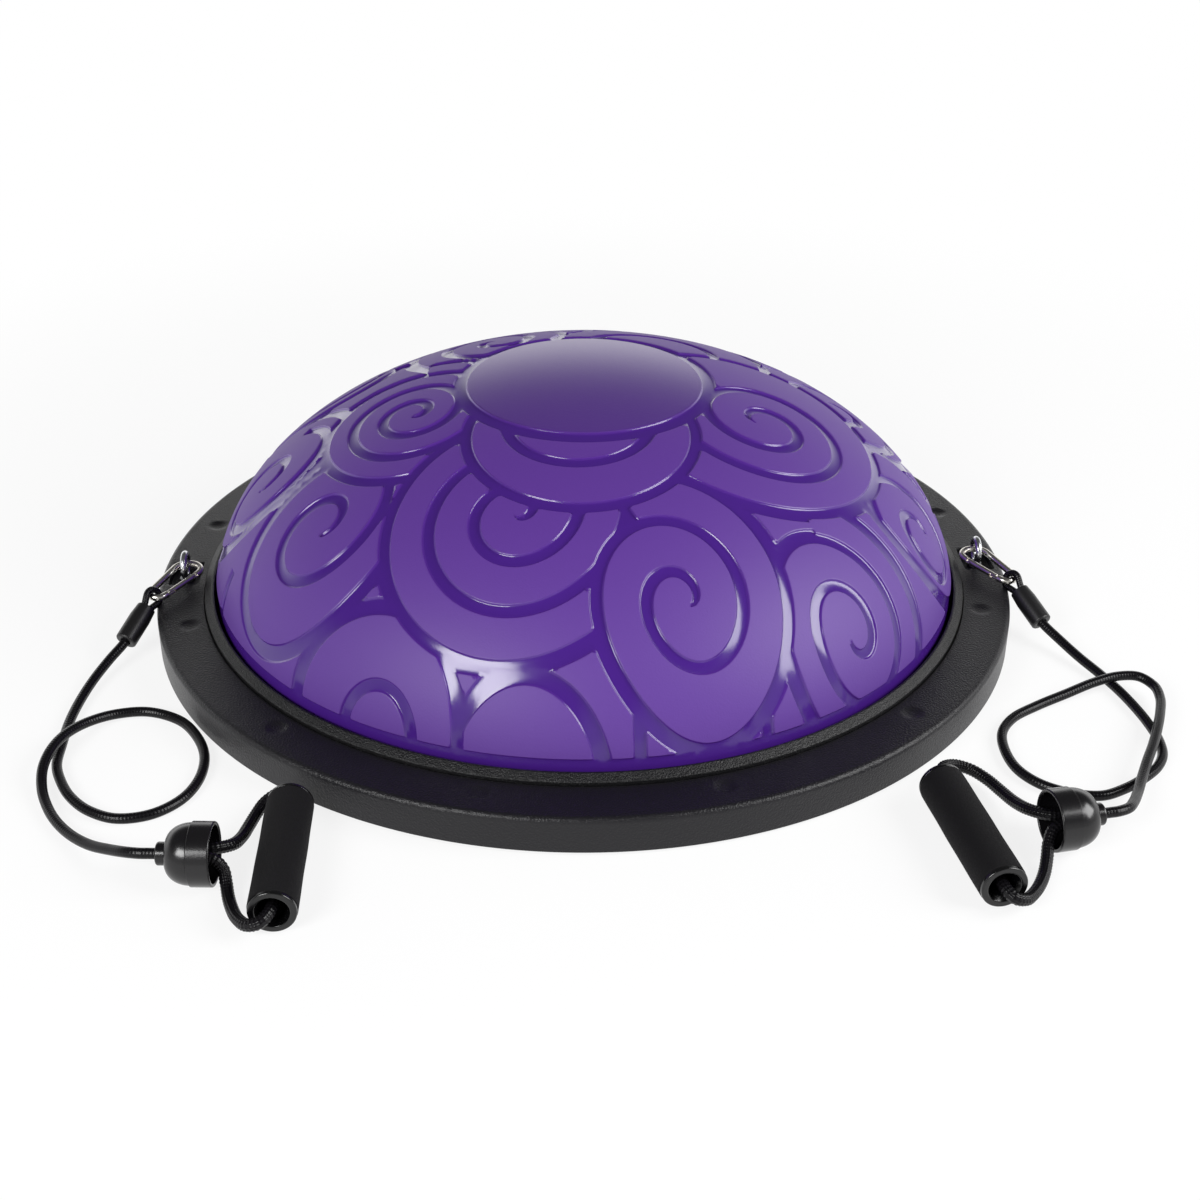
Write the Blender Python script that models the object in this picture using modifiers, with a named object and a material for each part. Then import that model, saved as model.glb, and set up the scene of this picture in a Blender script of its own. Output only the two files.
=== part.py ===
"""Balance dome trainer.

A soft moulded dome is clamped to a round base by a rim and a clamp ring, and holds air over the base plate.
Two elastic cords clip to eye bolts in the rim and end in foam handles.

Sizes are in millimetres, and MM turns them into Blender's metres where an object is made.
The origin is on the floor under the dome's centre, +Z is up and +X runs through the right eye bolt.
"""

import math

import bmesh
import bpy
from mathutils import Matrix, Vector

MM = 0.001
GAP = 0.3  # clearance between pieces that touch
ROUND_STEPS = 48  # facets of the large turned pieces
SMALL_STEPS = 16  # facets of the small turned pieces

# Dome: an ellipse above its belt, a straight wall below it
DOME_RADIUS = 251.0
DOME_HEIGHT = 170.0
DOME_BELT = 18.7
DOME_WALL = 3.6
DOME_CAP_RADIUS = 77.0
DOME_CAP_RISE = 1.2
DOME_BEAD_WIDTH = 6.0
DOME_BEAD_HEIGHT = 2.0

# Main grooves of the dome, each a stretch of a spiral round a place on it: azimuth and angle from the top of that
# place, height by width, hand, radius at turn 0, growth per turn, first and last turn
GROOVE_WIDTH = 8.4
GROOVE_DEPTH = 2.0
GROOVE_STEP = 37.0
GROOVES = (
    (-94.0, 16.6, 1.0, 1, 72.0, 0.0, 0.48, 0.98),
    (-18.4, 26.1, 1.0, 1, 93.0, 0.0, 0.50, 1.08),
    (-19.9, 28.6, 1.06, -1, 16.8, 26.8, 0.84, 1.56),
    (50.0, 20.0, 1.0, 1, 74.0, 0.0, 0.62, 0.98),
    (-75.7, 53.1, 1.26, 1, 7.8, 28.9, 0.55, 2.18),
    (-108.4, 35.9, 1.16, 1, 8.8, 27.9, 1.43, 1.92),
    (-108.4, 35.9, 1.16, 1, 8.8, 27.9, 2.40, 2.86),
    (-168.3, 26.9, 0.96, 1, 5.3, 22.2, 1.34, 2.05),
    (-168.3, 26.9, 0.96, 1, 5.3, 22.2, 2.41, 2.94),
    (121.7, 26.0, 1.05, 1, 12.0, 25.0, 1.47, 2.00),
    (121.7, 26.0, 1.05, 1, 12.0, 25.0, 2.52, 2.88),
    (117.0, 56.0, 1.25, -1, 7.8, 28.9, 0.94, 1.60),
    (84.0, 38.0, 1.15, -1, 8.8, 27.9, 1.05, 1.50),
    (84.0, 38.0, 1.15, -1, 8.8, 27.9, 2.10, 2.50),
    (14.0, 46.0, 1.2, 1, 56.0, 0.0, 0.54, 1.08),
    (-146.7, 51.9, 1.4, 1, 56.8, 0.0, 0.46, 0.98),
    (-148.6, 51.2, 1.26, 1, 9.3, 26.5, 0.30, 1.17),
    (-48.5, 68.6, 1.39, 1, 16.4, 23.9, 0.91, 1.31),
    (-180.0, 57.0, 1.3, 1, 50.0, 0.0, 0.33, 1.10),
    (150.0, 58.0, 1.3, 1, 55.0, 0.0, 0.50, 1.27),
    (47.0, 62.0, 1.3, 1, 54.0, 0.0, -0.12, 0.62),
)

# Clamp ring between the dome and the rim
RING_CLEARANCE = 0.4
RING_WIDTH = 6.6
RING_CREST_RISE = 6.0
RING_SHOULDER_RISE = 2.4
RING_CREST_ROUND = 0.8
RING_LIP_WIDTH = 2.5
RING_LIP_HEIGHT = 4.0

# Rim
RIM_FLANGE_WIDTH = 31.2
RIM_TOP = 25.0
RIM_BOTTOM = 1.5
RIM_WALL = 4.0
RIM_EDGE_ROUND = 3.5
RIM_FOOT_CHAMFER = 1.0
BOSS_RADIUS = 5.5
DIMPLE_RADIUS = 6.8
DIMPLE_FLOOR_RADIUS = 3.0
DIMPLE_DEPTH = 0.9
POCKET_LENGTH = 31.0
POCKET_WIDTH = 20.0
POCKET_DEPTH = 5.5
POCKET_WALL = 2.5

# Base plate, with a raised middle
PLATE_UNDERSIDE = 3.0
PLATE_THICKNESS = 4.0
PLATE_RAISE = 2.0
PLATE_RAISED_RADIUS = 150.0
PLATE_RAISE_SLOPE = 4.0

# Feet
FOOT_COUNT = 6
FOOT_INSET = 54.5  # of its middle, from the rim's outside
FOOT_RADIUS = 16.0
PAD_RADIUS = 30.0
FOOT_CHAMFER = 0.8

# Screws from below, one under each dimple of the rim
SCREW_COUNT = 12
SCREW_INSET = 19.5  # from the rim's outside
SCREW_RADIUS = 1.7
SCREW_BITE = 9.0
SCREW_TIP = 1.0
SCREW_HEAD_RADIUS = 4.0
SCREW_HEAD_HEIGHT = 1.8
SCREW_STEPS = 8

# Air valve in the raised middle of the plate
VALVE_DISTANCE = 110.0  # from the plate's middle
VALVE_BORE_RADIUS = 3.8
VALVE_WAIST_RADIUS = 7.0
VALVE_FLANGE_RADIUS = 11.0
VALVE_FLANGE_HEIGHT = 1.0
PLUG_HEAD_RADIUS = 8.0
PLUG_HEAD_HEIGHT = 1.8
PLUG_STEM_LENGTH = 10.0

# Eye bolt
EYE_INSET = 16.5  # from the rim's outside
EYE_RING_RADIUS = 7.7
EYE_WIRE_RADIUS = 2.3
EYE_COLLAR_RADIUS = 5.0
EYE_COLLAR_HEIGHT = 2.0
EYE_SEAT = 0.4  # how far the ring runs into its collar
EYE_SHANK_RADIUS = 2.5
EYE_SHANK_BELOW = 0.4  # past the nut
WASHER_RADIUS = 6.0
WASHER_HEIGHT = 1.2
NUT_ACROSS_CORNERS = 9.2
NUT_HEIGHT = 4.0
NUT_CLEARANCE = 1.2  # over the base plate

# Snap hook: a wire round two circles, with a sprung gate on the side towards the dome
HOOK_WIRE_RADIUS = 2.3
HOOK_WIDE_RADIUS = 9.3
HOOK_NARROW_RADIUS = 6.0
HOOK_CENTRES = 32.0
HOOK_HEADING = 63.3  # degrees from the radial direction towards the front
HOOK_TILT = 1.6  # degrees down towards the cord
HOOK_PIVOT_ANGLE = 38.0  # place on the wide bend that sits in the eye, in degrees from its end
HOOK_PIVOT_OFFSET = 1.8  # of that place from the middle of the eye
TONGUE_THICKNESS = 1.8
PIN_RADIUS = 0.8
PIN_PLACE = 4.6  # of the gate pin, from the end of the narrow bend
PIN_CLEARANCE = 0.25
GATE_RADIUS = 2.0
GATE_SHOULDER = 1.2  # where the body's full wire ends at the pin
GATE_HEEL = 2.2  # from the pin back to the gate's end
GATE_TONGUE = 2.4  # from the pin on to the tongue's end
GATE_SLOT = 3.6  # from the pin on to the slot's end
NOSE_WIRE = 1.8  # full wire at the nose, from the wide bend
NOSE_TONGUE = 3.4
NOSE_SLOT = 4.0
GATE_TIP_GAP = 0.5

# Cord loop and crimp sleeve
LOOP_RADIUS = 2.2
LOOP_DEPTH = 8.0  # of its strands in the sleeve
SLEEVE_DROP = 24.0  # degrees below the hook's plane
SLEEVE_DISTANCE = 9.0  # from the hook's end wire
SLEEVE_LENGTH = 28.0
SLEEVE_RADIUS = 7.0
SLEEVE_ROUND = 1.2
SLEEVE_LOOP_BORE_DEPTH = 10.0
CORD_DEPTH = 8.0  # of the elastic cord in the sleeve

# Elastic cords, handle cords and bells
CORD_RADIUS = 3.1
HANDLE_CORD_RADIUS = 3.5
CORD_STEP = 12.0
HANDLE_CORD_STEP = 9.0
BELL_NECK_RADIUS = 6.5
BELL_NECK_LENGTH = 5.5
BELL_SHOULDER_RADIUS = 7.5
BELL_DOME_RADIUS = 17.2
BELL_DOME_LENGTH = 13.5
BELL_RADIUS = 18.0
BELL_SKIRT_LENGTH = 12.7
BELL_WALL = 2.0
STOP_RADIUS = 7.5
STOP_LENGTH = 9.0
STOP_CHAMFER = 1.5
STOP_SEAT = 0.8  # from the bell's inner end wall

# Handles
HANDLE_LENGTH = 98.0
FOAM_RADIUS = 13.7
TUBE_RADIUS = 10.5
TUBE_BORE_RADIUS = 9.0
END_CAP_RADIUS = 13.2
END_CAP_BORE_RADIUS = 7.7
END_CAP_LIP = 2.5
END_CAP_LIP_ROUND = 0.9
END_CAP_SPIGOT = 6.0

# Where each cord lies: the bell's neck and axis, the handle's middle and axis, and the routes between them.
# Places are measured from the front corner, on that side, of the square that the rim fits in.
BELL_NECK = {"left": (45.0, -11.5), "right": (-9.0, 2.8)}
BELL_AXIS = {"left": (0.998, -0.06), "right": (-0.985, -0.172)}
HANDLE_MIDDLE = {"left": (112.0, -9.8), "right": (-85.0, -6.0)}
HANDLE_AXIS = {"left": (0.0, -1.0), "right": (0.149, -0.989)}
CORD_ROUTE = {
    "left": [
        (-22.0, 203.5, 9.5), (-29.0, 184.5, 6.2), (-33.5, 163.5, 4.2), (-35.5, 141.5, 3.4), (-35.0, 117.5, 3.4),
        (-33.5, 95.5, 3.4), (-27.5, 78.5, 3.4), (-18.5, 62.5, 3.4), (-5.5, 49.0, 3.4), (11.5, 41.0, 3.4),
        (30.5, 44.0, 3.4), (45.5, 57.0, 3.4), (53.0, 75.5, 3.4), (53.5, 99.5, 3.4), (46.0, 121.5, 3.4),
        (32.5, 140.0, 3.6), (11.5, 150.0, 4.0), (-7.5, 146.0, 5.5), (-21.5, 134.5, 8.0), (-31.5, 118.5, 10.4),
        (-37.0, 102.5, 10.4), (-38.8, 85.5, 8.5), (-36.0, 68.5, 5.2), (-30.0, 53.5, 3.6), (-22.0, 39.5, 3.5),
        (-11.0, 25.5, 4.4), (2.5, 12.0, 7.4), (17.0, 0.0, 12.8), (28.0, -8.0, 17.0),
    ],
    "right": [
        (23.0, 203.5, 9.0), (31.5, 186.5, 6.0), (40.0, 169.5, 4.2), (46.5, 152.5, 3.4), (51.0, 133.5, 3.4),
        (54.0, 114.5, 3.4), (55.0, 96.5, 3.4), (52.5, 79.5, 3.4), (45.5, 67.0, 3.4), (34.0, 56.0, 3.4),
        (19.5, 46.0, 3.4), (3.5, 39.5, 3.4), (-13.5, 42.5, 3.4), (-29.0, 52.0, 3.4), (-39.0, 67.0, 3.4),
        (-42.0, 86.5, 3.4), (-39.0, 106.5, 3.4), (-28.5, 122.0, 3.5), (-10.5, 134.0, 4.2), (10.5, 143.5, 6.5),
        (30.5, 151.5, 9.5), (47.5, 156.5, 10.6), (60.5, 156.0, 10.2), (67.5, 146.5, 9.2), (67.0, 132.5, 9.2),
        (61.5, 115.5, 10.0), (54.0, 97.5, 10.7), (45.5, 79.5, 10.7), (37.0, 63.5, 10.7), (28.5, 48.0, 10.8),
        (19.5, 31.5, 12.0), (11.0, 18.0, 14.8), (4.3, 9.0, 17.2),
    ],
}
FAR_LEG_ROUTE = {
    "left": [
        (76.5, -8.0, 18.2), (84.0, -1.0, 15.0), (87.0, 11.5, 10.0), (89.0, 26.5, 6.5), (91.5, 38.5, 5.6),
        (95.5, 47.0, 7.5), (101.5, 51.2, 10.0), (107.5, 49.0, 12.7), (110.7, 41.5, 14.0), (111.9, 31.5, 14.0),
    ],
    "right": [
        (-40.0, 3.5, 18.2), (-48.0, 12.0, 15.5), (-52.5, 25.5, 11.0), (-56.5, 40.5, 8.0), (-61.5, 53.5, 7.0),
        (-69.0, 62.0, 8.0), (-78.0, 63.5, 10.5), (-86.0, 59.0, 13.2), (-90.5, 51.0, 14.0), (-91.5, 40.5, 14.0),
        (-90.1, 28.5, 14.0),
    ],
}
NEAR_LEG_ROUTE = {
    "left": [
        (76.0, -16.5, 17.0), (81.0, -18.5, 11.8), (83.0, -24.0, 7.0), (85.0, -32.5, 4.3), (88.5, -43.5, 4.6),
        (93.0, -54.5, 7.0), (99.5, -63.3, 10.0), (106.0, -64.5, 12.5), (110.2, -59.0, 14.0), (111.9, -48.5, 14.0),
    ],
    "right": [
        (-39.0, -8.0, 16.5), (-43.0, -13.5, 11.5), (-45.2, -20.5, 7.2), (-48.5, -29.5, 4.4), (-54.0, -40.5, 4.4),
        (-60.5, -50.5, 6.0), (-67.3, -58.5, 9.0), (-74.0, -60.5, 12.2), (-77.5, -55.0, 13.9), (-78.9, -44.5, 14.0),
    ],
}


def remove_all_objects():
    for obj in list(bpy.data.objects):
        bpy.data.objects.remove(obj)


def new_collection(name):
    collection = bpy.data.collections.new(name)
    bpy.context.scene.collection.children.link(collection)
    return collection


def finish(name, colour, roughness, metallic=0.0):
    material = bpy.data.materials.new(name)
    material.use_nodes = True
    shader = material.node_tree.nodes["Principled BSDF"]
    shader.inputs["Base Color"].default_value = (*colour, 1.0)
    shader.inputs["Roughness"].default_value = roughness
    shader.inputs["Metallic"].default_value = metallic
    return material


remove_all_objects()
PARTS = new_collection("balance_dome_trainer")
CUTTERS = new_collection("cutters")
DOME_PVC = finish("purple_soft_pvc", (0.09, 0.02, 0.25), 0.4)
RIM_PLASTIC = finish("charcoal_grained_plastic", (0.022, 0.022, 0.024), 0.55)
RING_PLASTIC = finish("charcoal_speckled_plastic", (0.026, 0.026, 0.027), 0.65)
PLATE_PLASTIC = finish("black_base_plastic", (0.018, 0.018, 0.019), 0.5)
SOFT_RUBBER = finish("black_foot_rubber", (0.015, 0.015, 0.015), 0.85)
ZINC_STEEL = finish("zinc_plated_steel", (0.62, 0.62, 0.64), 0.3, 1.0)
NICKEL_STEEL = finish("nickel_plated_steel", (0.66, 0.65, 0.63), 0.2, 1.0)
SLEEVE_PLASTIC = finish("matt_black_sleeve_plastic", (0.02, 0.02, 0.02), 0.6)
CORD_WEAVE = finish("black_woven_cord_cover", (0.02, 0.02, 0.021), 0.8)
BELL_PLASTIC = finish("satin_black_bell_plastic", (0.02, 0.02, 0.02), 0.35)
TUBE_PLASTIC = finish("gloss_black_tube_plastic", (0.016, 0.016, 0.016), 0.3)
GRIP_FOAM = finish("black_grip_foam", (0.014, 0.014, 0.014), 0.95)


def place(obj, name, material, frame=Matrix(), parent=None):
    """Name a piece, give it its finish and its place, and file it with the parts."""
    obj.name = name
    obj.data.name = name
    if obj.data.materials:
        obj.data.materials.clear()
    obj.data.materials.append(material)
    for collection in list(obj.users_collection):
        collection.objects.unlink(obj)
    PARTS.objects.link(obj)
    obj.parent = parent
    obj.matrix_local = frame
    return obj


def as_cutter(obj, frame=None, parent=None):
    """File a shape with the cutters, which only shape other pieces."""
    for collection in list(obj.users_collection):
        collection.objects.unlink(obj)
    CUTTERS.objects.link(obj)
    obj.hide_render = True
    obj.display_type = "WIRE"
    if frame is not None:
        obj.parent = parent
        obj.matrix_local = frame
    return obj


def combine(obj, other, operation):
    modifier = obj.modifiers.new(operation.lower(), "BOOLEAN")
    modifier.operation = operation
    modifier.solver = "EXACT"
    modifier.object = other


def turned(profile, steps=SMALL_STEPS, closed=False):
    """A turned piece from (radius, height) points that run down its outer side; closed for a ring."""
    mesh = bpy.data.meshes.new("turned")
    points = [(radius * MM, 0.0, height * MM) for radius, height in profile]
    edges = [(i, i + 1) for i in range(len(points) - 1)]
    if closed:
        edges.append((len(points) - 1, 0))
    mesh.from_pydata(points, edges, [])
    obj = bpy.data.objects.new("turned", mesh)
    PARTS.objects.link(obj)
    screw = obj.modifiers.new("turn", "SCREW")
    screw.axis = "Z"
    screw.angle = math.tau
    screw.steps = steps
    screw.render_steps = steps
    screw.use_merge_vertices = True
    screw.merge_threshold = 0.00002
    screw.use_smooth_shade = True
    return obj


def mesh_object(build):
    """An object whose mesh a bmesh function fills."""
    mesh = bpy.data.meshes.new("shape")
    shape = bmesh.new()
    build(shape)
    shape.to_mesh(mesh)
    shape.free()
    obj = bpy.data.objects.new("shape", mesh)
    PARTS.objects.link(obj)
    return obj


def cylinder(radius, low, high, places=((0.0, 0.0),), sides=12):
    """Upright cylinders of one size at each (x, y) place."""

    def build(shape):
        for x, y in places:
            middle = Matrix.Translation(Vector((x, y, (low + high) / 2)) * MM)
            bmesh.ops.create_cone(shape, cap_ends=True, segments=sides, radius1=radius * MM, radius2=radius * MM,
                                  depth=(high - low) * MM, matrix=middle)

    return mesh_object(build)


def box(low, high):
    low = Vector(low) * MM
    high = Vector(high) * MM
    size = Matrix.Diagonal((*(high - low), 1.0))
    return mesh_object(lambda shape: bmesh.ops.create_cube(
        shape, size=1.0, matrix=Matrix.Translation((low + high) / 2) @ size))


def circle_places(count, radius, first_angle):
    angles = [math.radians(first_angle + 360.0 * i / count) for i in range(count)]
    return [(radius * math.cos(a), radius * math.sin(a)) for a in angles]


def arc(centre, radius, start, end, count):
    """Points of an arc in a plane, with its angles in degrees."""
    angles = [math.radians(start + (end - start) * i / count) for i in range(count + 1)]
    return [(centre[0] + radius * math.cos(a), centre[1] + radius * math.sin(a)) for a in angles]


def wire(points, radius, resolution=2):
    """A round wire or cord along points, with flat ends."""
    curve = bpy.data.curves.new("wire", "CURVE")
    curve.dimensions = "3D"
    curve.bevel_depth = radius * MM
    curve.bevel_resolution = resolution
    curve.use_fill_caps = True
    spline = curve.splines.new("POLY")
    spline.points.add(len(points) - 1)
    for target, point in zip(spline.points, points):
        target.co = (*(Vector(point) * MM), 1.0)
    obj = bpy.data.objects.new("wire", curve)
    PARTS.objects.link(obj)
    return obj


def as_mesh(curve_object):
    """The same wire as a welded mesh, which a Boolean can cut."""
    bpy.context.view_layer.update()
    evaluated = curve_object.evaluated_get(bpy.context.evaluated_depsgraph_get())
    mesh = bpy.data.meshes.new_from_object(evaluated)
    shape = bmesh.new()
    shape.from_mesh(mesh)
    bmesh.ops.remove_doubles(shape, verts=shape.verts, dist=0.00001)
    shape.to_mesh(mesh)
    shape.free()
    obj = bpy.data.objects.new("wire", mesh)
    obj.matrix_world = curve_object.matrix_world
    PARTS.objects.link(obj)
    bpy.data.objects.remove(curve_object)
    return obj


def smooth_route(points, step):
    """Points about a step apart on a smooth curve through a route's own points."""
    points = [Vector(p) for p in points]
    ends = [2 * points[0] - points[1], *points, 2 * points[-1] - points[-2]]
    samples = 24
    dense = [points[0]]
    for before, start, end, after in zip(ends, ends[1:], ends[2:], ends[3:]):
        knots = [0.0]
        for p, q in ((before, start), (start, end), (end, after)):
            knots.append(knots[-1] + math.sqrt((q - p).length))
        for i in range(1, samples + 1):
            t = knots[1] + (knots[2] - knots[1]) * i / samples

            def blend(p, q, low, high):
                return p * ((high - t) / (high - low)) + q * ((t - low) / (high - low))

            a = blend(before, start, knots[0], knots[1])
            b = blend(start, end, knots[1], knots[2])
            c = blend(end, after, knots[2], knots[3])
            dense.append(blend(blend(a, b, knots[0], knots[2]), blend(b, c, knots[1], knots[3]), knots[1], knots[2]))
    lengths = [0.0]
    for p, q in zip(dense, dense[1:]):
        lengths.append(lengths[-1] + (q - p).length)
    count = max(2, round(lengths[-1] / step))
    route = []
    here = 0
    for i in range(count + 1):
        wanted = lengths[-1] * i / count
        while here < len(dense) - 2 and lengths[here + 1] < wanted:
            here += 1
        share = (wanted - lengths[here]) / (lengths[here + 1] - lengths[here])
        route.append(dense[here].lerp(dense[here + 1], share))
    return route, lengths[-1]


def axes_frame(origin, along, up=(0, 0, 1)):
    """A frame whose Z runs along a direction and whose Y leans up, at a place in millimetres."""
    z = Vector(along).normalized()
    x = Vector(up).cross(z).normalized()
    y = z.cross(x)
    frame = Matrix((x, y, z)).transposed().to_4x4()
    frame.translation = Vector(origin) * MM
    return frame


# Heights and radii that follow from the sizes above
plate_top = PLATE_UNDERSIDE + PLATE_THICKNESS
raised_underside = PLATE_UNDERSIDE + PLATE_RAISE
raised_top = plate_top + PLATE_RAISE
flange_underside = RIM_TOP - RIM_WALL
bead_top = plate_top + GAP + DOME_BEAD_HEIGHT
ring_bottom = bead_top + GAP
ring_inside = DOME_RADIUS + RING_CLEARANCE
ring_outside = ring_inside + RING_WIDTH
apex = DOME_HEIGHT - DOME_CAP_RISE
flange_inside = ring_outside + GAP
rim_radius = flange_inside + RIM_FLANGE_WIDTH
wall_inside = rim_radius - RIM_WALL
eye_distance = rim_radius - EYE_INSET
screw_places = circle_places(SCREW_COUNT, rim_radius - SCREW_INSET, 180.0 / SCREW_COUNT)

# Heights at an eye bolt, from the plate up
nut_bottom = plate_top + NUT_CLEARANCE
washer_bottom = nut_bottom + NUT_HEIGHT + GAP
pocket_underside = washer_bottom + WASHER_HEIGHT + GAP
pocket_floor = RIM_TOP - POCKET_DEPTH
collar_bottom = pocket_floor + GAP
collar_top = collar_bottom + EYE_COLLAR_HEIGHT
eye_height = collar_top + EYE_RING_RADIUS + EYE_WIRE_RADIUS - EYE_SEAT


def out_of_dome(spot):
    return Vector((spot.x / DOME_RADIUS ** 2, spot.y / DOME_RADIUS ** 2,
                   (spot.z - DOME_BELT) / (apex - DOME_BELT) ** 2)).normalized()


def dome_place(azimuth, polar, tall, angle, radius):
    """The place on the dome at an angle and a straight distance from a middle that lies on it."""
    a, p = math.radians(azimuth), math.radians(polar)
    middle = Vector((DOME_RADIUS * math.sin(p) * math.cos(a), DOME_RADIUS * math.sin(p) * math.sin(a),
                     DOME_BELT + (apex - DOME_BELT) * math.cos(p)))
    out = out_of_dome(middle)
    sideways = Vector((-math.sin(a), math.cos(a), 0.0))
    way = sideways * math.cos(angle) + out.cross(sideways) * math.sin(angle) * tall
    reach = radius * way.length
    way.normalize()
    low, high = 0.0, math.pi / 2
    for _ in range(30):
        tilt = (low + high) / 2
        spot = middle + (way * math.cos(tilt) - out * math.sin(tilt)) * reach
        share = (spot.xy.length / DOME_RADIUS) ** 2 + ((spot.z - DOME_BELT) / (apex - DOME_BELT)) ** 2
        low, high = (tilt, high) if share > 1 else (low, tilt)
    return spot


def groove(azimuth, polar, tall, hand, first, growth, start, end):
    """A three-sided bar that lies in the dome's skin along a stretch of a spiral."""
    low, high = first + growth * start, first + growth * end

    def spot(share):
        turn = start + (end - start) * share
        if growth:
            turn = (math.sqrt(low ** 2 + (high ** 2 - low ** 2) * share) - first) / growth
        return dome_place(azimuth, polar, tall, hand * math.tau * turn, first + growth * turn)

    fine = [spot(i / 100) for i in range(101)]
    count = round(sum((b - a).length for a, b in zip(fine, fine[1:])) / GROOVE_STEP)
    corners = ((0.0, -GROOVE_DEPTH), (GROOVE_WIDTH, GROOVE_DEPTH), (-GROOVE_WIDTH, GROOVE_DEPTH))
    places = [spot(i / count) for i in range(count + 1)]
    # A straight stretch lies under the round skin, so each end of it is lifted by half of that.
    sags = [(spot((i + 0.5) / count) - (a + b) / 2).length for i, (a, b) in enumerate(zip(places, places[1:]))]

    def build(shape):
        rings = []
        for i, here in enumerate(places):
            out = out_of_dome(here)
            before, after = spot(max(i / count - 0.01, 0.0)), spot(min(i / count + 0.01, 1.0))
            across = (after - before).cross(out).normalized()
            lift = (sags[max(i - 1, 0)] + sags[min(i, count - 1)]) / 4
            rings.append([shape.verts.new((here + across * x + out * (z + lift)) * MM) for x, z in corners])
        for a, b in zip(rings, rings[1:]):
            for i in range(3):
                shape.faces.new((a[i - 1], a[i], b[i], b[i - 1]))
        shape.faces.new(rings[0])
        shape.faces.new(rings[-1])
        bmesh.ops.recalc_face_normals(shape, faces=shape.faces)

    return mesh_object(build)


def make_dome():
    cap_edge = math.asin(DOME_CAP_RADIUS / DOME_RADIUS)

    def skin(angle, inset=0.0, rise=0.0):
        return ((DOME_RADIUS - inset) * math.sin(angle),
                DOME_BELT + (apex - DOME_BELT - inset) * math.cos(angle) + rise)

    outer = [skin(cap_edge * i / 3, rise=DOME_CAP_RISE) for i in range(4)]
    outer += [skin(cap_edge + (math.pi / 2 - cap_edge) * i / 10) for i in range(11)]
    bead_radius = DOME_RADIUS + DOME_BEAD_WIDTH
    bead = [(DOME_RADIUS, bead_top), (bead_radius, bead_top), (bead_radius, bead_top - DOME_BEAD_HEIGHT),
            (DOME_RADIUS - DOME_WALL, bead_top - DOME_BEAD_HEIGHT)]
    inner = [skin(math.pi / 2 * (1 - i / 6), inset=DOME_WALL) for i in range(7)]
    inner[-1] = (0.0, inner[-1][1])
    dome = place(turned(outer + bead + inner, ROUND_STEPS), "dome", DOME_PVC)
    for line in GROOVES:
        combine(dome, as_cutter(groove(*line)), "DIFFERENCE")


def make_clamp_ring():
    lip_top = flange_underside - GAP
    lip_outside = ring_outside + RING_LIP_WIDTH
    crest = RIM_TOP + RING_CREST_RISE
    profile = [(ring_inside + RING_CREST_ROUND, crest), (ring_outside, RIM_TOP + RING_SHOULDER_RISE),
               (ring_outside, lip_top), (lip_outside, lip_top), (lip_outside, lip_top - RING_LIP_HEIGHT),
               (ring_outside, lip_top - RING_LIP_HEIGHT - RING_LIP_WIDTH), (ring_outside, ring_bottom),
               (ring_inside, ring_bottom), (ring_inside, crest - RING_CREST_ROUND)]
    return place(turned(profile, ROUND_STEPS, closed=True), "clamp_ring", RING_PLASTIC)


def make_rim():
    edge = arc((rim_radius - RIM_EDGE_ROUND, RIM_TOP - RIM_EDGE_ROUND), RIM_EDGE_ROUND, 90, 0, 3)
    profile = [(flange_inside, RIM_TOP), *edge, (rim_radius, RIM_BOTTOM + RIM_FOOT_CHAMFER),
               (rim_radius - RIM_FOOT_CHAMFER, RIM_BOTTOM), (wall_inside, RIM_BOTTOM),
               (wall_inside, flange_underside), (flange_inside, flange_underside)]
    rim = place(turned(profile, ROUND_STEPS, closed=True), "rim", RIM_PLASTIC)
    weld = RIM_WALL / 2  # how far bosses run into the walls they stand on
    bosses = cylinder(BOSS_RADIUS, plate_top + GAP, flange_underside + weld, screw_places)
    combine(rim, as_cutter(bosses), "UNION")
    for side in (-1, 1):
        inner = eye_distance - POCKET_WIDTH / 2
        outer = eye_distance + POCKET_WIDTH / 2
        reach = POCKET_LENGTH / 2
        ends = sorted((side * (inner - POCKET_WALL), side * (wall_inside + weld / 2)))
        cup = box((ends[0], -reach - POCKET_WALL, pocket_underside),
                  (ends[1], reach + POCKET_WALL, flange_underside + weld))
        combine(rim, as_cutter(cup), "UNION")
        ends = sorted((side * inner, side * outer))
        hollow = box((ends[0], -reach, pocket_floor), (ends[1], reach, RIM_TOP + RIM_WALL))
        combine(rim, as_cutter(hollow), "DIFFERENCE")
        hole = cylinder(EYE_SHANK_RADIUS + GAP, washer_bottom, RIM_TOP,
                        [(side * eye_distance, 0.0)])
        combine(rim, as_cutter(hole), "DIFFERENCE")
    pilots = cylinder(SCREW_RADIUS + GAP, 0.0, plate_top + SCREW_BITE + SCREW_TIP, screw_places, SCREW_STEPS)
    combine(rim, as_cutter(pilots), "DIFFERENCE")

    def dimples(shape):
        for x, y in screw_places:
            middle = Matrix.Translation(Vector((x, y, RIM_TOP)) * MM)
            bmesh.ops.create_cone(shape, cap_ends=True, segments=12, radius1=DIMPLE_FLOOR_RADIUS * MM,
                                  radius2=(2 * DIMPLE_RADIUS - DIMPLE_FLOOR_RADIUS) * MM,
                                  depth=2 * DIMPLE_DEPTH * MM, matrix=middle)

    combine(rim, as_cutter(mesh_object(dimples)), "DIFFERENCE")
    return rim


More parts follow.
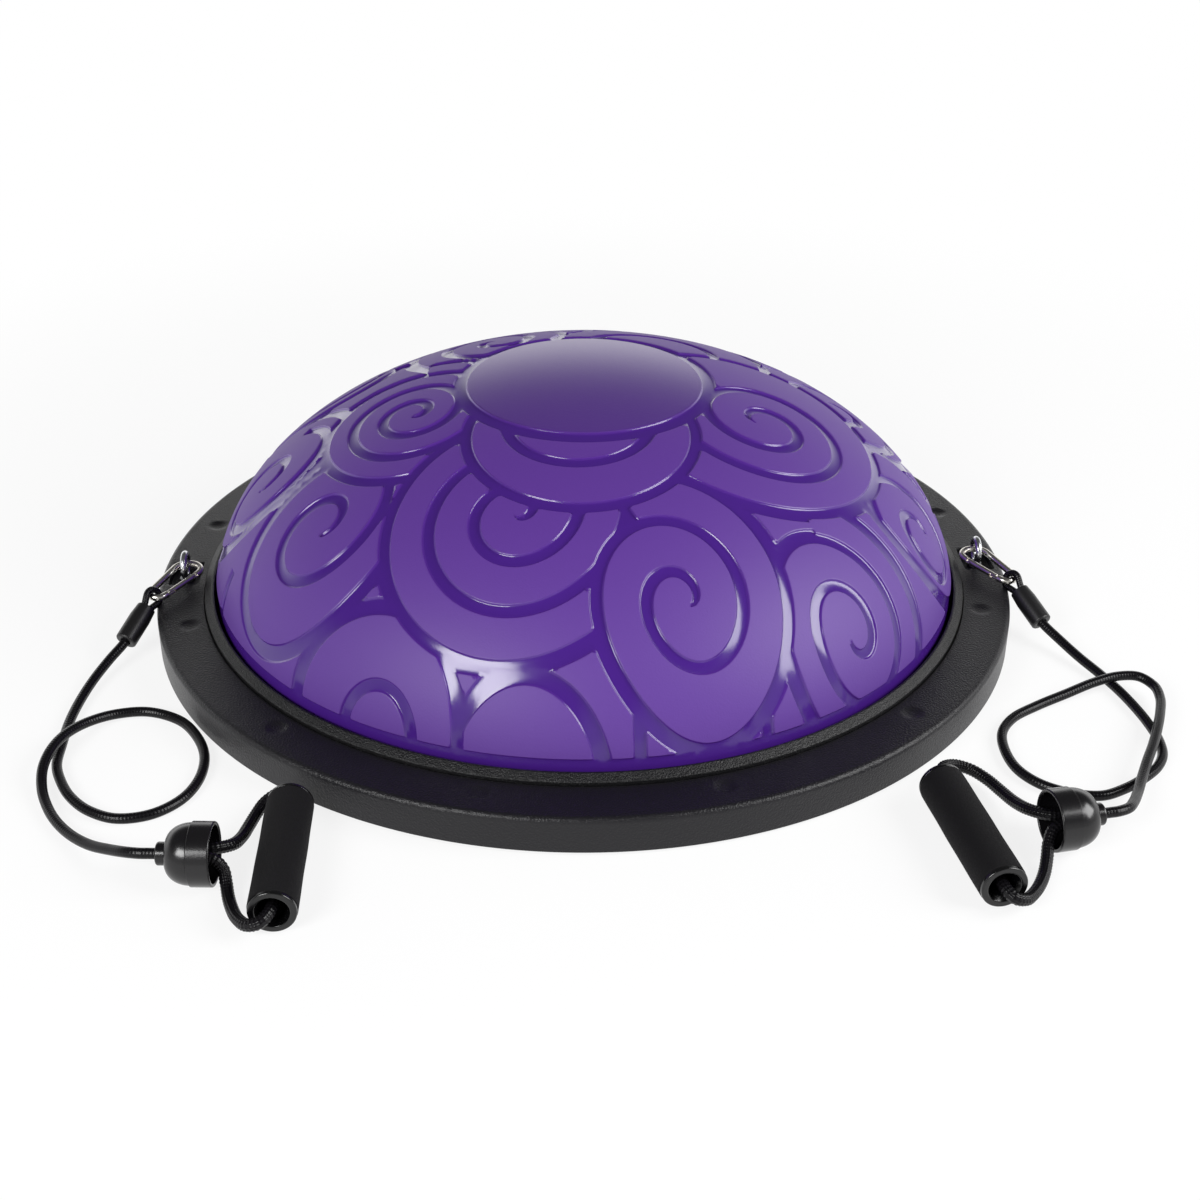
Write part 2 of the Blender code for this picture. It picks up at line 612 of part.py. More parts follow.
def make_base_plate():
    inner = PLATE_RAISED_RADIUS - PLATE_RAISE_SLOPE / 2
    outer = PLATE_RAISED_RADIUS + PLATE_RAISE_SLOPE / 2
    edge = wall_inside - GAP
    profile = [(0.0, raised_top), (inner, raised_top), (outer, plate_top), (edge, plate_top),
               (edge, PLATE_UNDERSIDE), (outer, PLATE_UNDERSIDE), (inner, raised_underside), (0.0, raised_underside)]
    plate = place(turned(profile, ROUND_STEPS), "base_plate", PLATE_PLASTIC)
    holes = cylinder(SCREW_RADIUS + 2 * GAP, 0.0, raised_top + PLATE_THICKNESS, screw_places, SCREW_STEPS)
    combine(plate, as_cutter(holes), "DIFFERENCE")
    valve = cylinder(VALVE_WAIST_RADIUS + GAP, 0.0, raised_top + PLATE_THICKNESS, [(0.0, VALVE_DISTANCE)], SMALL_STEPS)
    combine(plate, as_cutter(valve), "DIFFERENCE")
    return plate


def make_feet():
    def foot(name, radius, top, x, y):
        profile = [(0.0, top), (radius, top), (radius, FOOT_CHAMFER), (radius - FOOT_CHAMFER, 0.0), (0.0, 0.0)]
        place(turned(profile), name, SOFT_RUBBER, Matrix.Translation(Vector((x, y, 0.0)) * MM))

    places = circle_places(FOOT_COUNT, rim_radius - FOOT_INSET, 180.0 / FOOT_COUNT)
    for number, (x, y) in enumerate(places, 1):
        foot(f"foot_{number}", FOOT_RADIUS, PLATE_UNDERSIDE - GAP, x, y)
    foot("centre_pad", PAD_RADIUS, raised_underside - GAP, 0.0, 0.0)


def make_base_screws():
    head_top = PLATE_UNDERSIDE - GAP
    head_bottom = head_top - SCREW_HEAD_HEIGHT
    tip = plate_top + SCREW_BITE
    profile = [(0.0, tip), (SCREW_RADIUS, tip - SCREW_TIP), (SCREW_RADIUS, head_top), (SCREW_HEAD_RADIUS, head_top),
               (SCREW_HEAD_RADIUS, head_top - SCREW_HEAD_HEIGHT / 2), (SCREW_HEAD_RADIUS * 0.7, head_bottom),
               (0.0, head_bottom)]
    for number, (x, y) in enumerate(screw_places, 1):
        place(turned(profile, SCREW_STEPS), f"base_screw_{number}", ZINC_STEEL,
              Matrix.Translation(Vector((x, y, 0.0)) * MM))


def make_valve():
    frame = Matrix.Translation(Vector((0.0, VALVE_DISTANCE, 0.0)) * MM)
    over = raised_top + GAP
    under = raised_underside - GAP
    under_face = under - VALVE_FLANGE_HEIGHT
    seat = [(VALVE_BORE_RADIUS, over + VALVE_FLANGE_HEIGHT), (VALVE_FLANGE_RADIUS, over + VALVE_FLANGE_HEIGHT),
            (VALVE_FLANGE_RADIUS, over), (VALVE_WAIST_RADIUS, over), (VALVE_WAIST_RADIUS, under),
            (VALVE_FLANGE_RADIUS, under), (VALVE_FLANGE_RADIUS, under_face), (VALVE_BORE_RADIUS, under_face)]
    place(turned(seat, closed=True), "valve_seat", SOFT_RUBBER, frame)
    head_top = under_face - GAP
    stem = VALVE_BORE_RADIUS - GAP
    plug = [(0.0, head_top + PLUG_STEM_LENGTH), (stem * 0.7, head_top + PLUG_STEM_LENGTH),
            (stem, head_top + PLUG_STEM_LENGTH * 0.8), (stem, head_top), (PLUG_HEAD_RADIUS, head_top),
            (PLUG_HEAD_RADIUS, head_top - PLUG_HEAD_HEIGHT * 0.6),
            (PLUG_HEAD_RADIUS * 0.9, head_top - PLUG_HEAD_HEIGHT), (0.0, head_top - PLUG_HEAD_HEIGHT)]
    place(turned(plug), "valve_plug", SOFT_RUBBER, frame)


def make_eye_bolt(name, side):
    frame = Matrix.Translation(Vector((side * eye_distance, 0.0, 0.0)) * MM)
    shank_bottom = nut_bottom - EYE_SHANK_BELOW
    stem = [(0.0, collar_top), (EYE_COLLAR_RADIUS, collar_top), (EYE_COLLAR_RADIUS, collar_bottom),
            (EYE_SHANK_RADIUS, collar_bottom), (EYE_SHANK_RADIUS, shank_bottom), (0.0, shank_bottom)]
    bpy.ops.mesh.primitive_torus_add(major_radius=EYE_RING_RADIUS * MM, minor_radius=EYE_WIRE_RADIUS * MM,
                                     major_segments=20, minor_segments=8)
    upright = Matrix.Translation(Vector((side * eye_distance, 0.0, eye_height)) * MM) @ Matrix.Rotation(
        math.pi / 2, 4, "Y")
    eye = place(bpy.context.object, f"{name}_eye_bolt", ZINC_STEEL, upright)
    combine(eye, as_cutter(turned(stem), frame), "UNION")
    washer_top = washer_bottom + WASHER_HEIGHT
    washer = [(EYE_SHANK_RADIUS + GAP, washer_top), (WASHER_RADIUS, washer_top), (WASHER_RADIUS, washer_bottom),
              (EYE_SHANK_RADIUS + GAP, washer_bottom)]
    place(turned(washer, closed=True), f"{name}_eye_washer", ZINC_STEEL, frame)
    nut = place(cylinder(NUT_ACROSS_CORNERS / 2, nut_bottom, nut_bottom + NUT_HEIGHT, sides=6), f"{name}_eye_nut",
                ZINC_STEEL, frame)
    bore = cylinder(EYE_SHANK_RADIUS + GAP, nut_bottom - NUT_HEIGHT, nut_bottom + 2 * NUT_HEIGHT, sides=SMALL_STEPS)
    combine(nut, as_cutter(bore, frame), "DIFFERENCE")


def hook_outline(side):
    """Places of the snap hook in its own plane: +X towards the cord, the spine on the side away from the dome."""
    angle = math.radians(HOOK_PIVOT_ANGLE)
    wide = Vector((HOOK_WIDE_RADIUS * math.cos(angle), -HOOK_WIDE_RADIUS * math.sin(angle)))
    narrow = wide + Vector((HOOK_CENTRES, 0.0))
    lean = (HOOK_WIDE_RADIUS - HOOK_NARROW_RADIUS) / HOOK_CENTRES
    gate_normal = Vector((lean, -math.sqrt(1.0 - lean * lean)))
    gate_start = narrow + HOOK_NARROW_RADIUS * gate_normal
    gate_run = wide + HOOK_WIDE_RADIUS * gate_normal - gate_start
    return {"wide": wide, "narrow": narrow, "gate_start": gate_start, "gate_length": gate_run.length,
            "gate_way": gate_run.normalized(), "lean": math.degrees(math.asin(lean)), "side": side}


def on_gate(outline, distance):
    point = outline["gate_start"] + outline["gate_way"] * distance
    return Vector((point.x, outline["side"] * point.y, 0.0))


def gate_frame(outline, distance):
    """A frame on the gate's line, with X along it towards the wide bend."""
    way = outline["gate_way"]
    turn = math.atan2(outline["side"] * way.y, way.x)
    return Matrix.Translation(on_gate(outline, distance) * MM) @ Matrix.Rotation(turn, 4, "Z")


def hook_frame(side):
    heading = math.radians(HOOK_HEADING)
    tilt = math.radians(HOOK_TILT)
    x = Vector((side * math.cos(heading) * math.cos(tilt), -math.sin(heading) * math.cos(tilt), -math.sin(tilt)))
    y = Vector((0, 0, 1)).cross(x).normalized()
    frame = Matrix((x, y, x.cross(y))).transposed().to_4x4()
    frame.translation = Vector((side * eye_distance, HOOK_PIVOT_OFFSET, eye_height)) * MM
    return frame


def make_snap_hook(name, side, pivot):
    outline = hook_outline(side)
    length = outline["gate_length"]
    wide, narrow, lean = outline["wide"], outline["narrow"], outline["lean"]
    tongue_end = PIN_PLACE + GATE_TONGUE
    nose_end = length - NOSE_WIRE - NOSE_TONGUE
    bends = arc(wide, HOOK_WIDE_RADIUS, 270 + lean, 90 - lean, 10) + arc(
        narrow, HOOK_NARROW_RADIUS, 90 - lean, -90 + lean, 7)
    path = [on_gate(outline, nose_end), *[Vector((x, side * y, 0.0)) for x, y in bends], on_gate(outline, tongue_end)]
    body = place(as_mesh(wire(path, HOOK_WIRE_RADIUS)), f"{name}_hook_body", NICKEL_STEEL, parent=pivot)
    wide_reach = 2 * HOOK_WIRE_RADIUS
    half = TONGUE_THICKNESS / 2

    def cut_box(target, start, end, low, high):
        shape = box((start, -wide_reach, low), (end, wide_reach, high))
        combine(target, as_cutter(shape, gate_frame(outline, 0.0), pivot), "DIFFERENCE")

    for start, end in ((GATE_SHOULDER, tongue_end + 1), (nose_end - 1, length - NOSE_WIRE)):
        cut_box(body, start, end, half, wide_reach)
        cut_box(body, start, end, -wide_reach, -half)
    pin_frame = gate_frame(outline, PIN_PLACE)
    hole = cylinder(PIN_RADIUS + PIN_CLEARANCE, -wide_reach, wide_reach, sides=SCREW_STEPS)
    combine(body, as_cutter(hole, pin_frame, pivot), "DIFFERENCE")

    tip = length - NOSE_WIRE - GATE_TIP_GAP - PIN_PLACE
    gate = as_mesh(wire([(-GATE_HEEL, 0, 0), (tip, 0, 0)], GATE_RADIUS))
    place(gate, f"{name}_hook_gate", NICKEL_STEEL, pin_frame, pivot)
    slot = half + GAP
    cut_box(gate, 0.0, PIN_PLACE + GATE_SLOT, -slot, slot)
    cut_box(gate, nose_end - (NOSE_SLOT - NOSE_TONGUE) - GATE_TIP_GAP, length, -slot, slot)
    combine(gate, as_cutter(cylinder(PIN_RADIUS + PIN_CLEARANCE, -wide_reach, wide_reach, sides=SCREW_STEPS), pin_frame, pivot),
            "DIFFERENCE")
    place(cylinder(PIN_RADIUS, -GATE_RADIUS, GATE_RADIUS, sides=SCREW_STEPS), f"{name}_gate_pin", NICKEL_STEEL,
          pin_frame, pivot)


def sleeve_frame(side):
    """The sleeve's frame in the hook's plane frame: Z along the cord, at the sleeve's loop end."""
    outline = hook_outline(side)
    drop = math.radians(SLEEVE_DROP)
    way = Vector((math.cos(drop), 0.0, -math.sin(drop)))
    end_wire = Vector((outline["narrow"].x + HOOK_NARROW_RADIUS, side * outline["narrow"].y, 0.0))
    return axes_frame(end_wire + way * SLEEVE_DISTANCE, way, (0, -1, 0))


def make_loop_and_sleeve(name, side, pivot):
    frame = sleeve_frame(side)
    bend = HOOK_WIRE_RADIUS + GAP + LOOP_RADIUS
    strand = LOOP_RADIUS + GAP / 2
    turn = [(-SLEEVE_DISTANCE + z, x) for z, x in arc((0.0, 0.0), bend, 70, 290, 9)]
    leg = [(LOOP_DEPTH, strand), (0.0, strand), (-SLEEVE_DISTANCE * 0.35, (bend + strand) / 2)]
    loop = leg + turn + [(z, -x) for z, x in reversed(leg)]
    place(wire([(x, 0.0, z) for z, x in loop], LOOP_RADIUS), f"{name}_cord_loop", CORD_WEAVE, frame, pivot)
    loop_bore = strand + LOOP_RADIUS + GAP
    cord_bore = CORD_RADIUS + GAP
    step = SLEEVE_LOOP_BORE_DEPTH
    top = SLEEVE_LENGTH
    profile = [(cord_bore, top), (SLEEVE_RADIUS - SLEEVE_ROUND, top), (SLEEVE_RADIUS, top - SLEEVE_ROUND),
               (SLEEVE_RADIUS, SLEEVE_ROUND), (SLEEVE_RADIUS - SLEEVE_ROUND, 0.0), (loop_bore, 0.0),
               (loop_bore, step), (cord_bore, step)]
    place(turned(profile, closed=True), f"{name}_sleeve", SLEEVE_PLASTIC, frame, pivot)


bell_length = BELL_NECK_LENGTH + BELL_DOME_LENGTH + BELL_SKIRT_LENGTH
bell_floor = BELL_NECK_LENGTH + BELL_WALL
stop_start = bell_floor + STOP_SEAT
stop_end = stop_start + STOP_LENGTH
cord_end = stop_start - GAP


def lying(name, places):
    """Places on the floor, from those measured from the front corner on that side."""
    corner = Vector((rim_radius if name == "right" else -rim_radius, -rim_radius, 0.0))
    return [corner + Vector(place) for place in places]


def bell_frame(name):
    """The bell's frame: Z from its neck to its mouth, with the skirt just clear of the floor."""
    neck = lying(name, [(*BELL_NECK[name], BELL_RADIUS + GAP)])[0]
    return axes_frame(neck, (*BELL_AXIS[name], 0.0))


def make_bell(name):
    dome_end = BELL_NECK_LENGTH + BELL_DOME_LENGTH

    def bowl(inset, count):
        rise = BELL_DOME_RADIUS - BELL_SHOULDER_RADIUS
        steps = [math.pi / 2 * i / count for i in range(count + 1)]
        return [(BELL_SHOULDER_RADIUS - inset + rise * math.sin(a),
                 dome_end + inset / 2 - (BELL_DOME_LENGTH - inset / 2) * math.cos(a)) for a in steps]

    outside = [(BELL_RADIUS, bell_length), (BELL_RADIUS, dome_end), *reversed(bowl(0.0, 5)),
               (BELL_NECK_RADIUS, BELL_NECK_LENGTH), (BELL_NECK_RADIUS, 0.0)]
    bore = CORD_RADIUS + 2 * GAP
    inside = [(bore, 0.0), (bore, bell_floor), *bowl(BELL_WALL, 3), (BELL_RADIUS - BELL_WALL, bell_length)]
    frame = bell_frame(name)
    place(turned(outside + inside, SMALL_STEPS, closed=True), f"{name}_bell", BELL_PLASTIC, frame)
    stop = [(0.0, stop_end), (STOP_RADIUS, stop_end), (STOP_RADIUS, stop_start + STOP_CHAMFER),
            (STOP_RADIUS - STOP_CHAMFER, stop_start), (0.0, stop_start)]
    place(turned(stop), f"{name}_cord_stop", SLEEVE_PLASTIC, frame)


def make_elastic_cord(name, side):
    sleeve = hook_frame(side) @ sleeve_frame(side)
    bell = bell_frame(name)
    start = [sleeve @ Vector((0, 0, z)) / MM for z in ((SLEEVE_LENGTH - CORD_DEPTH) * MM, SLEEVE_LENGTH * MM)]
    end = [bell @ Vector((0, 0, z)) / MM for z in (-BELL_NECK_LENGTH * MM, 0.0, cord_end * MM)]
    route, length = smooth_route(start + lying(name, CORD_ROUTE[name]) + end, CORD_STEP)
    place(wire(route, CORD_RADIUS), f"{name}_cord", CORD_WEAVE)
    print(f"{name}_cord: {length:.0f} mm long, {len(route)} points")


def make_handle(name):
    middle = lying(name, [(*HANDLE_MIDDLE[name], FOAM_RADIUS + GAP)])[0]
    handle = axes_frame(middle, (*HANDLE_AXIS[name], 0.0))
    pivot = bpy.data.objects.new(f"{name}_handle_axis", None)
    PARTS.objects.link(pivot)
    pivot.matrix_world = handle
    half = HANDLE_LENGTH / 2
    seat = half - END_CAP_LIP - GAP
    tube = [(TUBE_BORE_RADIUS, seat), (TUBE_RADIUS, seat), (TUBE_RADIUS, -seat), (TUBE_BORE_RADIUS, -seat)]
    place(turned(tube, SMALL_STEPS, closed=True), f"{name}_handle_tube", TUBE_PLASTIC, parent=pivot)
    bore = TUBE_RADIUS + GAP
    soft = (FOAM_RADIUS - bore) / 2
    foam = [(bore, seat), (FOAM_RADIUS - soft / 2, seat), (FOAM_RADIUS, seat - soft), (FOAM_RADIUS, -seat + soft),
            (FOAM_RADIUS - soft / 2, -seat), (bore, -seat)]
    place(turned(foam, SMALL_STEPS, closed=True), f"{name}_foam_grip", GRIP_FOAM, parent=pivot)
    spigot = TUBE_BORE_RADIUS - GAP
    cap = [(END_CAP_BORE_RADIUS, half), (END_CAP_RADIUS - END_CAP_LIP_ROUND, half),
           (END_CAP_RADIUS, half - END_CAP_LIP_ROUND), (END_CAP_RADIUS, half - END_CAP_LIP),
           (spigot, half - END_CAP_LIP), (spigot, half - END_CAP_LIP - END_CAP_SPIGOT),
           (END_CAP_BORE_RADIUS, half - END_CAP_LIP - END_CAP_SPIGOT)]
    place(turned(cap, SMALL_STEPS, closed=True), f"{name}_near_end_cap", TUBE_PLASTIC, parent=pivot)
    place(turned(cap, SMALL_STEPS, closed=True), f"{name}_far_end_cap", TUBE_PLASTIC, Matrix.Rotation(math.pi, 4, "X"), pivot)


def make_handle_cord(name):
    """One cord from the stop, through the handle's tube and back to the stop."""
    bell = bell_frame(name)
    apart = HANDLE_CORD_RADIUS + GAP
    towards_far = 1 if (bell.to_3x3() @ Vector((1, 0, 0))).y > 0 else -1
    start_z = stop_end + GAP
    far = [bell @ (Vector((towards_far * apart, 0, z)) * MM) / MM for z in (start_z, start_z + 5)]
    near = [bell @ (Vector((-towards_far * apart, 0, z)) * MM) / MM for z in (start_z, start_z + 5)]
    legs = lying(name, FAR_LEG_ROUTE[name] + NEAR_LEG_ROUTE[name][::-1])
    points = far + legs + near[::-1]
    route, length = smooth_route(points, HANDLE_CORD_STEP)
    place(wire(route, HANDLE_CORD_RADIUS), f"{name}_handle_cord", CORD_WEAVE)
    print(f"{name}_handle_cord: {length:.0f} mm long, {len(route)} points")


def main():
    make_base_plate()
    make_rim()
    make_clamp_ring()
    make_dome()
    make_valve()
    make_feet()
    make_base_screws()
    for name, side in (("left", -1), ("right", 1)):
        make_eye_bolt(name, side)
        pivot = bpy.data.objects.new(f"{name}_hook_pivot", None)
        PARTS.objects.link(pivot)
        pivot.matrix_world = hook_frame(side)
        make_snap_hook(name, side, pivot)
        make_loop_and_sleeve(name, side, pivot)
        make_elastic_cord(name, side)
        make_bell(name)
        make_handle(name)
        make_handle_cord(name)
    bpy.context.view_layer.update()


main()
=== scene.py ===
# %% [markdown]
# # A balance dome trainer
# An air-filled purple dome on a round black base, with two elastic cords that clip to the rim and end in foam
# handles. The solid parts arrive as a fixed frame. This lesson gives each of them the form and finish of the real
# thing: the moulded spirals of the dome, the grain of the rim, the braid of the cords and the soft foam of the grips.
# Sizes are in millimetres until a shape becomes a mesh, because that is how such a product is drawn.

# %% Load the frame
import math

import bmesh
import bpy
import numpy as np
from mathutils import Matrix, Vector


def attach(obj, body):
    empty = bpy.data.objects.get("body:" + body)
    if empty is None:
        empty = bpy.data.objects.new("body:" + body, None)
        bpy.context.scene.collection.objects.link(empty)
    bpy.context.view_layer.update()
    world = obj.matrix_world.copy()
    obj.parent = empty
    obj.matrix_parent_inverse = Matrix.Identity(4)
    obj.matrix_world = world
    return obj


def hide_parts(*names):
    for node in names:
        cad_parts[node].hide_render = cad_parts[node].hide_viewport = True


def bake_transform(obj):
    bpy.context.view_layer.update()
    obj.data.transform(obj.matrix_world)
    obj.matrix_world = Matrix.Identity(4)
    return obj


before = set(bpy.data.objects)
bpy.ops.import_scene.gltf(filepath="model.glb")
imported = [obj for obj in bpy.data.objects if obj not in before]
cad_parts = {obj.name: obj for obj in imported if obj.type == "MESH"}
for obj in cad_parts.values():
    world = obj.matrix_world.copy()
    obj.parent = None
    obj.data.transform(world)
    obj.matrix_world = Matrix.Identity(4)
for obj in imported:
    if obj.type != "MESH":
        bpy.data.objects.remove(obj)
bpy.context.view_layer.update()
MM = 0.001
SIDES = {"left": -1, "right": 1}

# %% [markdown]
# ## Where the camera stands
# A product photograph is taken from a little above, with a fairly long lens, so that the round base stays a calm
# ellipse. The camera's axes come from its heading, its tilt and a trace of roll, and go straight into its matrix.

# %% Camera
camera_data = bpy.data.cameras.new("portrait_camera")
camera_data.lens = 53.883
camera_data.sensor_width = 36.0
camera_data.clip_start = 0.01
camera = bpy.data.objects.new("portrait_camera", camera_data)
bpy.context.scene.collection.objects.link(camera)
heading, tilt, roll = 0.0492, 0.5256, 0.0049
forward = Vector((math.sin(heading) * math.cos(tilt), math.cos(heading) * math.cos(tilt), -math.sin(tilt)))
level = Vector((math.cos(heading), -math.sin(heading), 0.0))
across = level * math.cos(roll) + level.cross(forward) * math.sin(roll)
camera.matrix_world = Matrix.Translation((-0.0426, -1.0866, 0.6283)) @ Matrix(
    (across, across.cross(forward), -forward)).transposed().to_4x4()
bpy.context.scene.camera = camera
print("camera looks along", tuple(round(x, 3) for x in forward))

# %% [markdown]
# ## Colours and nodes
# Every colour below is the hex code that a paint program shows. Blender's shaders count in linear light, so one
# function turns a code into linear numbers. A second small function adds any node to any tree: a plain value is
# written on the node's socket, and another node's output is linked to it.

# %% Colour and node helpers
def linear(code):
    channels = [int(code[i:i + 2], 16) / 255 for i in (1, 3, 5)]
    return tuple(c / 12.92 if c <= 0.04045 else ((c + 0.055) / 1.055) ** 2.4 for c in channels) + (1.0,)


def add(tree, kind, inputs=None, **settings):
    node = tree.nodes.new(kind)
    for name, value in settings.items():
        setattr(node, name, value)
    for socket, value in (inputs or {}).items():
        if isinstance(value, bpy.types.NodeSocket):
            tree.links.new(value, node.inputs[socket])
        else:
            node.inputs[socket].default_value = value
    return node


def new_material(name):
    material = bpy.data.materials.new(name)
    material.use_nodes = True
    material.node_tree.nodes.clear()
    return material, material.node_tree


print("deep violet is", tuple(round(c, 3) for c in linear("#47208A")))

# %% [markdown]
# ## Floor and studio light
# The set is a white table in a dim studio. Two soft boxes, left and right of the camera, give the long white streaks
# in the glossy grooves. Pale walls near the horizon give the rim of light on the far side of the dome, so the world is
# white low down and dims overhead. The floor adds a share of plain white to what camera and mirror rays see: the page
# is white and the shadow stays. From below the floor is clear, so that the underside can be looked at too.

# %% Floor, world and soft boxes
FLOOR_HALF = 7.0
floor_mesh = bpy.data.meshes.new("floor")
floor_mesh.from_pydata([(x * FLOOR_HALF, y * FLOOR_HALF, 0.0) for x, y in ((-1, -1), (1, -1), (1, 1), (-1, 1))], [],
                       [(0, 1, 2, 3)])
floor = bpy.data.objects.new("floor", floor_mesh)
bpy.context.scene.collection.objects.link(floor)
white_table, tree = new_material("white_table_laminate")
path = add(tree, "ShaderNodeLightPath")
seen = add(tree, "ShaderNodeMath", {0: path.outputs["Is Camera Ray"], 1: path.outputs["Is Glossy Ray"]},
           operation="MAXIMUM")
seen = add(tree, "ShaderNodeMath", {0: seen.outputs[0], 1: path.outputs["Is Transmission Ray"]}, operation="MAXIMUM")
place = add(tree, "ShaderNodeTexCoord")
apart = add(tree, "ShaderNodeVectorMath", {0: place.outputs["Object"]}, operation="LENGTH")
page = add(tree, "ShaderNodeMapRange", {"Value": apart.outputs["Value"], "From Min": 0.4, "From Max": 0.9,
                                        "To Min": 0.84, "To Max": 1.0}, interpolation_type="SMOOTHSTEP")
share = add(tree, "ShaderNodeMath", {0: seen.outputs[0], 1: page.outputs[0]}, operation="MULTIPLY")
paper = add(tree, "ShaderNodeBsdfDiffuse", {"Color": linear("#F4F4F4")})
glow = add(tree, "ShaderNodeEmission", {"Color": linear("#FFFFFF"), "Strength": 1.0})
mixed = add(tree, "ShaderNodeMixShader", {0: share.outputs[0], 1: paper.outputs[0], 2: glow.outputs[0]})
facing = add(tree, "ShaderNodeNewGeometry")
clear = add(tree, "ShaderNodeBsdfTransparent")
table = add(tree, "ShaderNodeMixShader", {0: facing.outputs["Backfacing"], 1: mixed.outputs[0], 2: clear.outputs[0]})
add(tree, "ShaderNodeOutputMaterial", {"Surface": table.outputs[0]})
floor_mesh.materials.append(white_table)

world = bpy.data.worlds.new("dim_studio")
world.use_nodes = True
tree = world.node_tree
tree.nodes.clear()
direction = add(tree, "ShaderNodeTexCoord")
height = add(tree, "ShaderNodeSeparateXYZ", {0: direction.outputs["Generated"]})
low = add(tree, "ShaderNodeMapRange", {"Value": height.outputs["Z"], "From Min": 0.15, "From Max": 0.5, "To Min": 1.0,
                                       "To Max": 0.0}, interpolation_type="SMOOTHSTEP")
behind = add(tree, "ShaderNodeMapRange", {"Value": height.outputs["Y"], "From Min": -0.2, "From Max": 0.6,
                                          "To Min": 0.55, "To Max": 1.6}, interpolation_type="SMOOTHSTEP")
walls = add(tree, "ShaderNodeMath", {0: low.outputs[0], 1: behind.outputs[0], 2: 0.1}, operation="MULTIPLY_ADD")
path = add(tree, "ShaderNodeLightPath")
seen = add(tree, "ShaderNodeMath", {0: walls.outputs[0], 1: path.outputs["Is Camera Ray"]}, operation="MAXIMUM")
sky = add(tree, "ShaderNodeBackground", {"Color": linear("#FFFFFF"), "Strength": seen.outputs[0]})
add(tree, "ShaderNodeOutputWorld", {"Surface": sky.outputs[0]})
bpy.context.scene.world = world


def soft_box(name, azimuth, elevation, distance, width, tall, watts):
    lamp = bpy.data.lights.new(name, "AREA")
    lamp.shape, lamp.size, lamp.size_y, lamp.energy = "RECTANGLE", width, tall, watts
    box = bpy.data.objects.new(name, lamp)
    bpy.context.scene.collection.objects.link(box)
    a, e = math.radians(azimuth), math.radians(elevation)
    box.location = Vector((math.cos(a) * math.cos(e), math.sin(a) * math.cos(e), math.sin(e))) * distance
    box.rotation_euler = box.location.to_track_quat("Z", "Y").to_euler()


soft_box("left_soft_box", -128, 31, 2.4, 1.0, 0.8, 39)
soft_box("right_soft_box", -20, 33, 2.4, 1.4, 1.2, 51)
bpy.context.scene.view_settings.view_transform = "Standard"
print("floor", 2 * FLOOR_HALF, "m wide, two soft boxes")

# %% [markdown]
# ## Pieces out of points and faces
# Most pieces are worked out in numbers first: a list of points and a list of faces. One function turns them into an
# object at the origin, welds doubles, points the faces outwards and shades them smooth. Edges sharper than the given
# angle stay crisp. Another function hands the finished piece over: it rides on a moving body and stands for plain
# solids.

# %% Making and handing over a piece
def shade_smooth(mesh, crease):
    mesh.polygons.foreach_set("use_smooth", [True] * len(mesh.polygons))
    mesh.set_sharp_from_angle(angle=math.radians(crease))


def make_piece(name, points, faces, material, crease=50.0):
    mesh = bpy.data.meshes.new(name)
    mesh.from_pydata([tuple(p) for p in np.asarray(points) * MM], [], faces)
    shape = bmesh.new()
    shape.from_mesh(mesh)
    bmesh.ops.remove_doubles(shape, verts=shape.verts, dist=1e-7)
    bmesh.ops.recalc_face_normals(shape, faces=shape.faces)
    shape.to_mesh(mesh)
    shape.free()
    shade_smooth(mesh, crease)
    mesh.materials.append(material)
    piece = bpy.data.objects.new(f"fine_{name}", mesh)
    bpy.context.scene.collection.objects.link(piece)
    return piece


def hand_over(piece, body, slot, *nodes):
    if body:
        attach(piece, body)
    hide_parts(*nodes)
    print(piece.name, "has", len(piece.data.polygons), "faces")


# %% [markdown]
# ## The woven cover of the cords
# An elastic cord is a bundle of rubber threads in a braided polyester cover. The yarns run in two slanting sets that
# pass over and under each other, so up close the surface is a field of little diamonds. The pattern follows the cord,
# so it reads the cord's own UV map, in which one unit is one turn round the cord in both directions. A cosine along
# the cord minus a cosine round it makes the diamonds. The raised yarns get a lighter black and the hollows between
# them a darker one: that difference is painted shade in the weave.

# %% Braided polyester
YARNS_ROUND = 10  # about 2 mm each; the real yarns are nearer 0.5 mm, drawn coarser so that they show
cord_cover, tree = new_material("braided_black_polyester")
uv = add(tree, "ShaderNodeUVMap", uv_map="UVMap")
turns = add(tree, "ShaderNodeSeparateXYZ", {0: uv.outputs[0]})
waves = []
for axis in ("X", "Y"):
    phase = add(tree, "ShaderNodeMath", {0: turns.outputs[axis], 1: 2 * math.pi * YARNS_ROUND}, operation="MULTIPLY")
    waves.append(add(tree, "ShaderNodeMath", {0: phase.outputs[0]}, operation="COSINE"))
weave = add(tree, "ShaderNodeMath", {0: waves[0].outputs[0], 1: waves[1].outputs[0]}, operation="SUBTRACT")
lifted = add(tree, "ShaderNodeMapRange", {"Value": weave.outputs[0], "From Min": -2.0, "From Max": 2.0})
place = add(tree, "ShaderNodeTexCoord")
fuzz = add(tree, "ShaderNodeTexNoise", {"Vector": place.outputs["Object"], "Scale": 1100.0, "Detail": 3.0})
height = add(tree, "ShaderNodeMath", {0: fuzz.outputs[0], 1: 0.4, 2: lifted.outputs[0]}, operation="MULTIPLY_ADD")
# Lighter black on the raised yarns, darker in the hollows between them: painted shade in the weave.
painted_light_tint = add(tree, "ShaderNodeMix", {0: lifted.outputs[0], 6: linear("#060507"), 7: linear("#151417")}, data_type="RGBA")
bump = add(tree, "ShaderNodeBump", {"Height": height.outputs[0], "Distance": 0.00016, "Strength": 0.8})
shader = add(tree, "ShaderNodeBsdfPrincipled", {
    "Base Color": painted_light_tint.outputs[2], "Roughness": 0.27, "Specular IOR Level": 0.2,
    "Normal": bump.outputs[0]})
